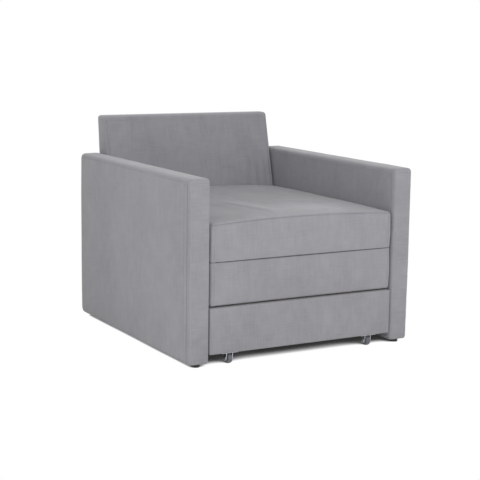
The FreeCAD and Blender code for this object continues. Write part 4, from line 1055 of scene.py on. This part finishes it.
def chipboard():
    chips = Recipe("raw_chipboard")
    place = object_place(chips)
    spread = chips.add("ShaderNodeMapping", {}, {"Vector": place, "Scale": (260, 90, 130)})
    mosaic = chips.add("ShaderNodeTexVoronoi", {}, {"Vector": spread, "Scale": 1.0}, "Color")
    hue = chips.add("ShaderNodeSeparateColor", {}, {"Color": mosaic}, 0)
    dust = chips.noise(place, (900, 900, 900), 2.0)
    shade = hue * 0.7 + dust * 0.3
    return chips.finish(Base_Color=chips.mix(shade, tint(206, 180, 146), tint(148, 118, 84)),
                        Roughness=0.8 + dust * 0.1, Normal=chips.bump(shade, 0.0004, 0.5))


pine = {along: timber(f"pine_along_{along}", along) for along in "xyz"}
plywood = timber("birch_plywood", "y", (214, 190, 152), (186, 156, 116))
print("timbers", [wood.name for wood in pine.values()], plywood.name)

# %% [markdown]
# Zinc plate is a bright metal with a faint spangle, dulled where it was folded or rubbed. A metal is
# Metallic 1 with its colour as its reflection, and the unevenness goes into the roughness. The moulded
# parts are dielectrics: a dark body under a soft gloss, with a very fine grain from the mould. Webbing
# and rubber are matt.

# %% Metal, plastic, webbing and rubber
def zinc(name, pale, dark, rough):
    metal = Recipe(name)
    place = object_place(metal)
    spread = metal.add("ShaderNodeMapping", {}, {"Vector": place, "Scale": (240, 240, 240)})
    spangle = metal.add("ShaderNodeTexVoronoi", {}, {"Vector": spread, "Scale": 1.0}, "Distance")
    rubbed = metal.noise(place, (60, 60, 60), 3.0, 0.6)
    scratches = metal.noise(place, (90, 1400, 1400), 2.0)
    shade = spangle * 0.5 + rubbed * 0.5
    return metal.finish(Base_Color=metal.mix(shade, tint(*pale), tint(*dark)), Metallic=1.0,
                        Roughness=rubbed * 0.2 + (rough - 0.1),
                        Normal=metal.bump(scratches + rubbed, 0.0002, 0.3))


def moulded(name, pale, dark, rough):
    resin = Recipe(name)
    place = object_place(resin)
    cloudy = resin.noise(place, (50, 50, 50), 2.0)
    mould = resin.noise(place, (1500, 1500, 1500), 2.0)
    return resin.finish(Base_Color=resin.mix(cloudy, tint(*dark), tint(*pale)),
                        Roughness=cloudy * 0.15 + rough, Normal=resin.bump(mould, 0.0001, 0.5))


def webbing():
    strap = Recipe("woven_webbing")
    place = object_place(strap)
    axes = [strap.add("ShaderNodeSeparateXYZ", {}, {"Vector": place}, axis) for axis in (0, 2)]
    ribs = [strap.add("ShaderNodeMath", {"operation": "SINE"}, {0: axis * 2600.0}) for axis in axes]
    cross = ribs[0] * ribs[1] * 0.5 + 0.5
    return strap.finish(Base_Color=strap.mix(cross, tint(46, 46, 50), tint(82, 82, 88)),
                        Roughness=0.85 - cross * 0.1, Normal=strap.bump(cross, 0.0003, 0.7))


# %% [markdown]
# Each finish is now given to the nodes that wear it. The solids stay as they are, and only their
# material slots change.

# %% Paint the solids
def paint(material, *names):
    """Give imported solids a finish; a name may stand for a left and a right one."""
    for name in names:
        for node in [name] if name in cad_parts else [f"{name}_{side}" for side, _ in SIDES]:
            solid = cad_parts[node]
            if not solid.material_slots:
                solid.data.materials.append(material)
            for place in solid.material_slots:
                place.material = material


paint(pine["y"], "fixed_slats", "rolling_slats", "platform_side_rail")
paint(pine["x"], "seat_front_rail", "rear_ledger", "platform_rear_rail", "slat_packers",
      "castor_blocks", "corner_blocks")
paint(pine["z"], "arm_frame", "back_frame")
paint(plywood, "arm_outer_board", "arm_inner_board")
paint(chipboard(), "front_board", "rear_panel")
paint(zinc("zinc_plate", (226, 228, 232), (172, 175, 180), 0.26), "guide_rail", "slat_clips",
      "castor_fork", "castor_axles", "roller_axles")
paint(zinc("zinc_fasteners", (214, 214, 218), (150, 150, 156), 0.32), "frame_bolts", "barrel_nuts",
      "back_nuts", "guide_screws", "castor_screws", "foot_screws")
paint(moulded("black_plastic", (28, 28, 30), (14, 14, 16), 0.45), "feet", "back_spacers")
paint(moulded("wheel_plastic", (116, 118, 124), (84, 86, 92), 0.3), "castor_wheel")
paint(moulded("roller_nylon", (226, 226, 222), (204, 204, 198), 0.42), "guide_roller")
paint(moulded("bumper_rubber", (52, 52, 52), (36, 36, 36), 0.75), "stop_bumpers")
paint(webbing(), "back_webbing")
print("painted", sum(bool(node.material_slots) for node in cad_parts.values()), "solids")

# %% [markdown]
# The light is plain studio light: a dome of even white, one large soft box in front, a little to the
# left and above the seat, which lifts the fronts, and a weaker one above and behind, which lifts the
# tops and leaves the rear of the seat in the back's soft shade. The camera, gloss and glass see the
# dome as white, so the backdrop is white without more light on the chair.

# %% Light
SKY = 0.70
BOX_SIDE = 2.0


def seen(recipe):
    """1 on rays that should meet the white backdrop: from the camera, and off gloss or glass."""
    rays = [recipe.add("ShaderNodeLightPath", {}, {}, name)
            for name in ("Is Camera Ray", "Is Glossy Ray", "Is Transmission Ray")]
    return rays[0] + rays[1] + rays[2]


def dome():
    sky = Recipe("studio", bpy.data.worlds, "ShaderNodeOutputWorld")
    strength = sky.ramp(seen(sky), 0.0, 1.0, SKY, 1.0)
    bpy.context.scene.world = sky.close(sky.add("ShaderNodeBackground", {},
                                                {"Color": (1, 1, 1, 1), "Strength": strength}))


def soft_box(name, place, aim, watts):
    lamp = bpy.data.lights.new(name, "AREA")
    lamp.shape = "SQUARE"
    lamp.size = BOX_SIDE
    lamp.energy = watts
    box = bpy.data.objects.new(name, lamp)
    box.location = place
    box.rotation_euler = (Vector(aim) - Vector(place)).to_track_quat("-Z", "Y").to_euler()
    box.visible_camera = False
    bpy.context.scene.collection.objects.link(box)


dome()
soft_box("front_box", (-0.55, -3.0, 1.85), (0, -0.45, 0.35), 26)
soft_box("rear_box", (0.3, 1.7, 2.6), (0, 0, 0.45), 12)
print("sky", SKY, "and", len(bpy.data.lights), "soft boxes")

# %% [markdown]
# The floor is white paint that the camera sees as white, but it has to keep the chair's shadow. How
# much of the sky a place of the floor sees is what Ambient Occlusion measures, so a ramp over it
# gives the shade: nearly black under the seat, where almost nothing of the sky is seen, and white as
# soon as a fifth of it is.

# %% Floor
FLOOR_HALF = 8.0
SHADE_REACH = 0.5
SHADES = ((0.0, 0.02), (0.066, 0.03), (0.078, 0.06), (0.088, 0.15), (0.10, 0.27),
          (0.115, 0.38), (0.14, 0.52), (0.18, 0.87), (0.23, 1.0))


def floor():
    ground = mesh_piece("floor", [(-FLOOR_HALF, -FLOOR_HALF, 0), (FLOOR_HALF, -FLOOR_HALF, 0),
                                  (FLOOR_HALF, FLOOR_HALF, 0), (-FLOOR_HALF, FLOOR_HALF, 0)],
                        [(0, 1, 2, 3)], False)
    paintwork = Recipe("floor_paint")
    plain = paintwork.add("ShaderNodeBsdfDiffuse", {}, {"Color": (0.92, 0.92, 0.92, 1)})
    open_sky = paintwork.add("ShaderNodeAmbientOcclusion", {"samples": 128},
                             {"Distance": SHADE_REACH}, "AO")
    stops = [(place, (grey, grey, grey, 1)) for place, grey in SHADES]
    shade = paintwork.add("ShaderNodeValToRGB", {"stops": stops}, {"Fac": open_sky})
    glow = paintwork.add("ShaderNodeEmission", {}, {"Color": shade, "Strength": 1.0})
    both = paintwork.add("ShaderNodeMixShader", {}, {0: seen(paintwork), 1: plain, 2: glow})
    ground.data.materials.append(paintwork.close(both))


floor()
print("floor goes from", SHADES[0][1], "to", SHADES[-1][1])

# %% [markdown]
# Last comes the plain view transform, which shows a colour as it is written.

# %% Colour
bpy.context.scene.view_settings.view_transform = "Standard"
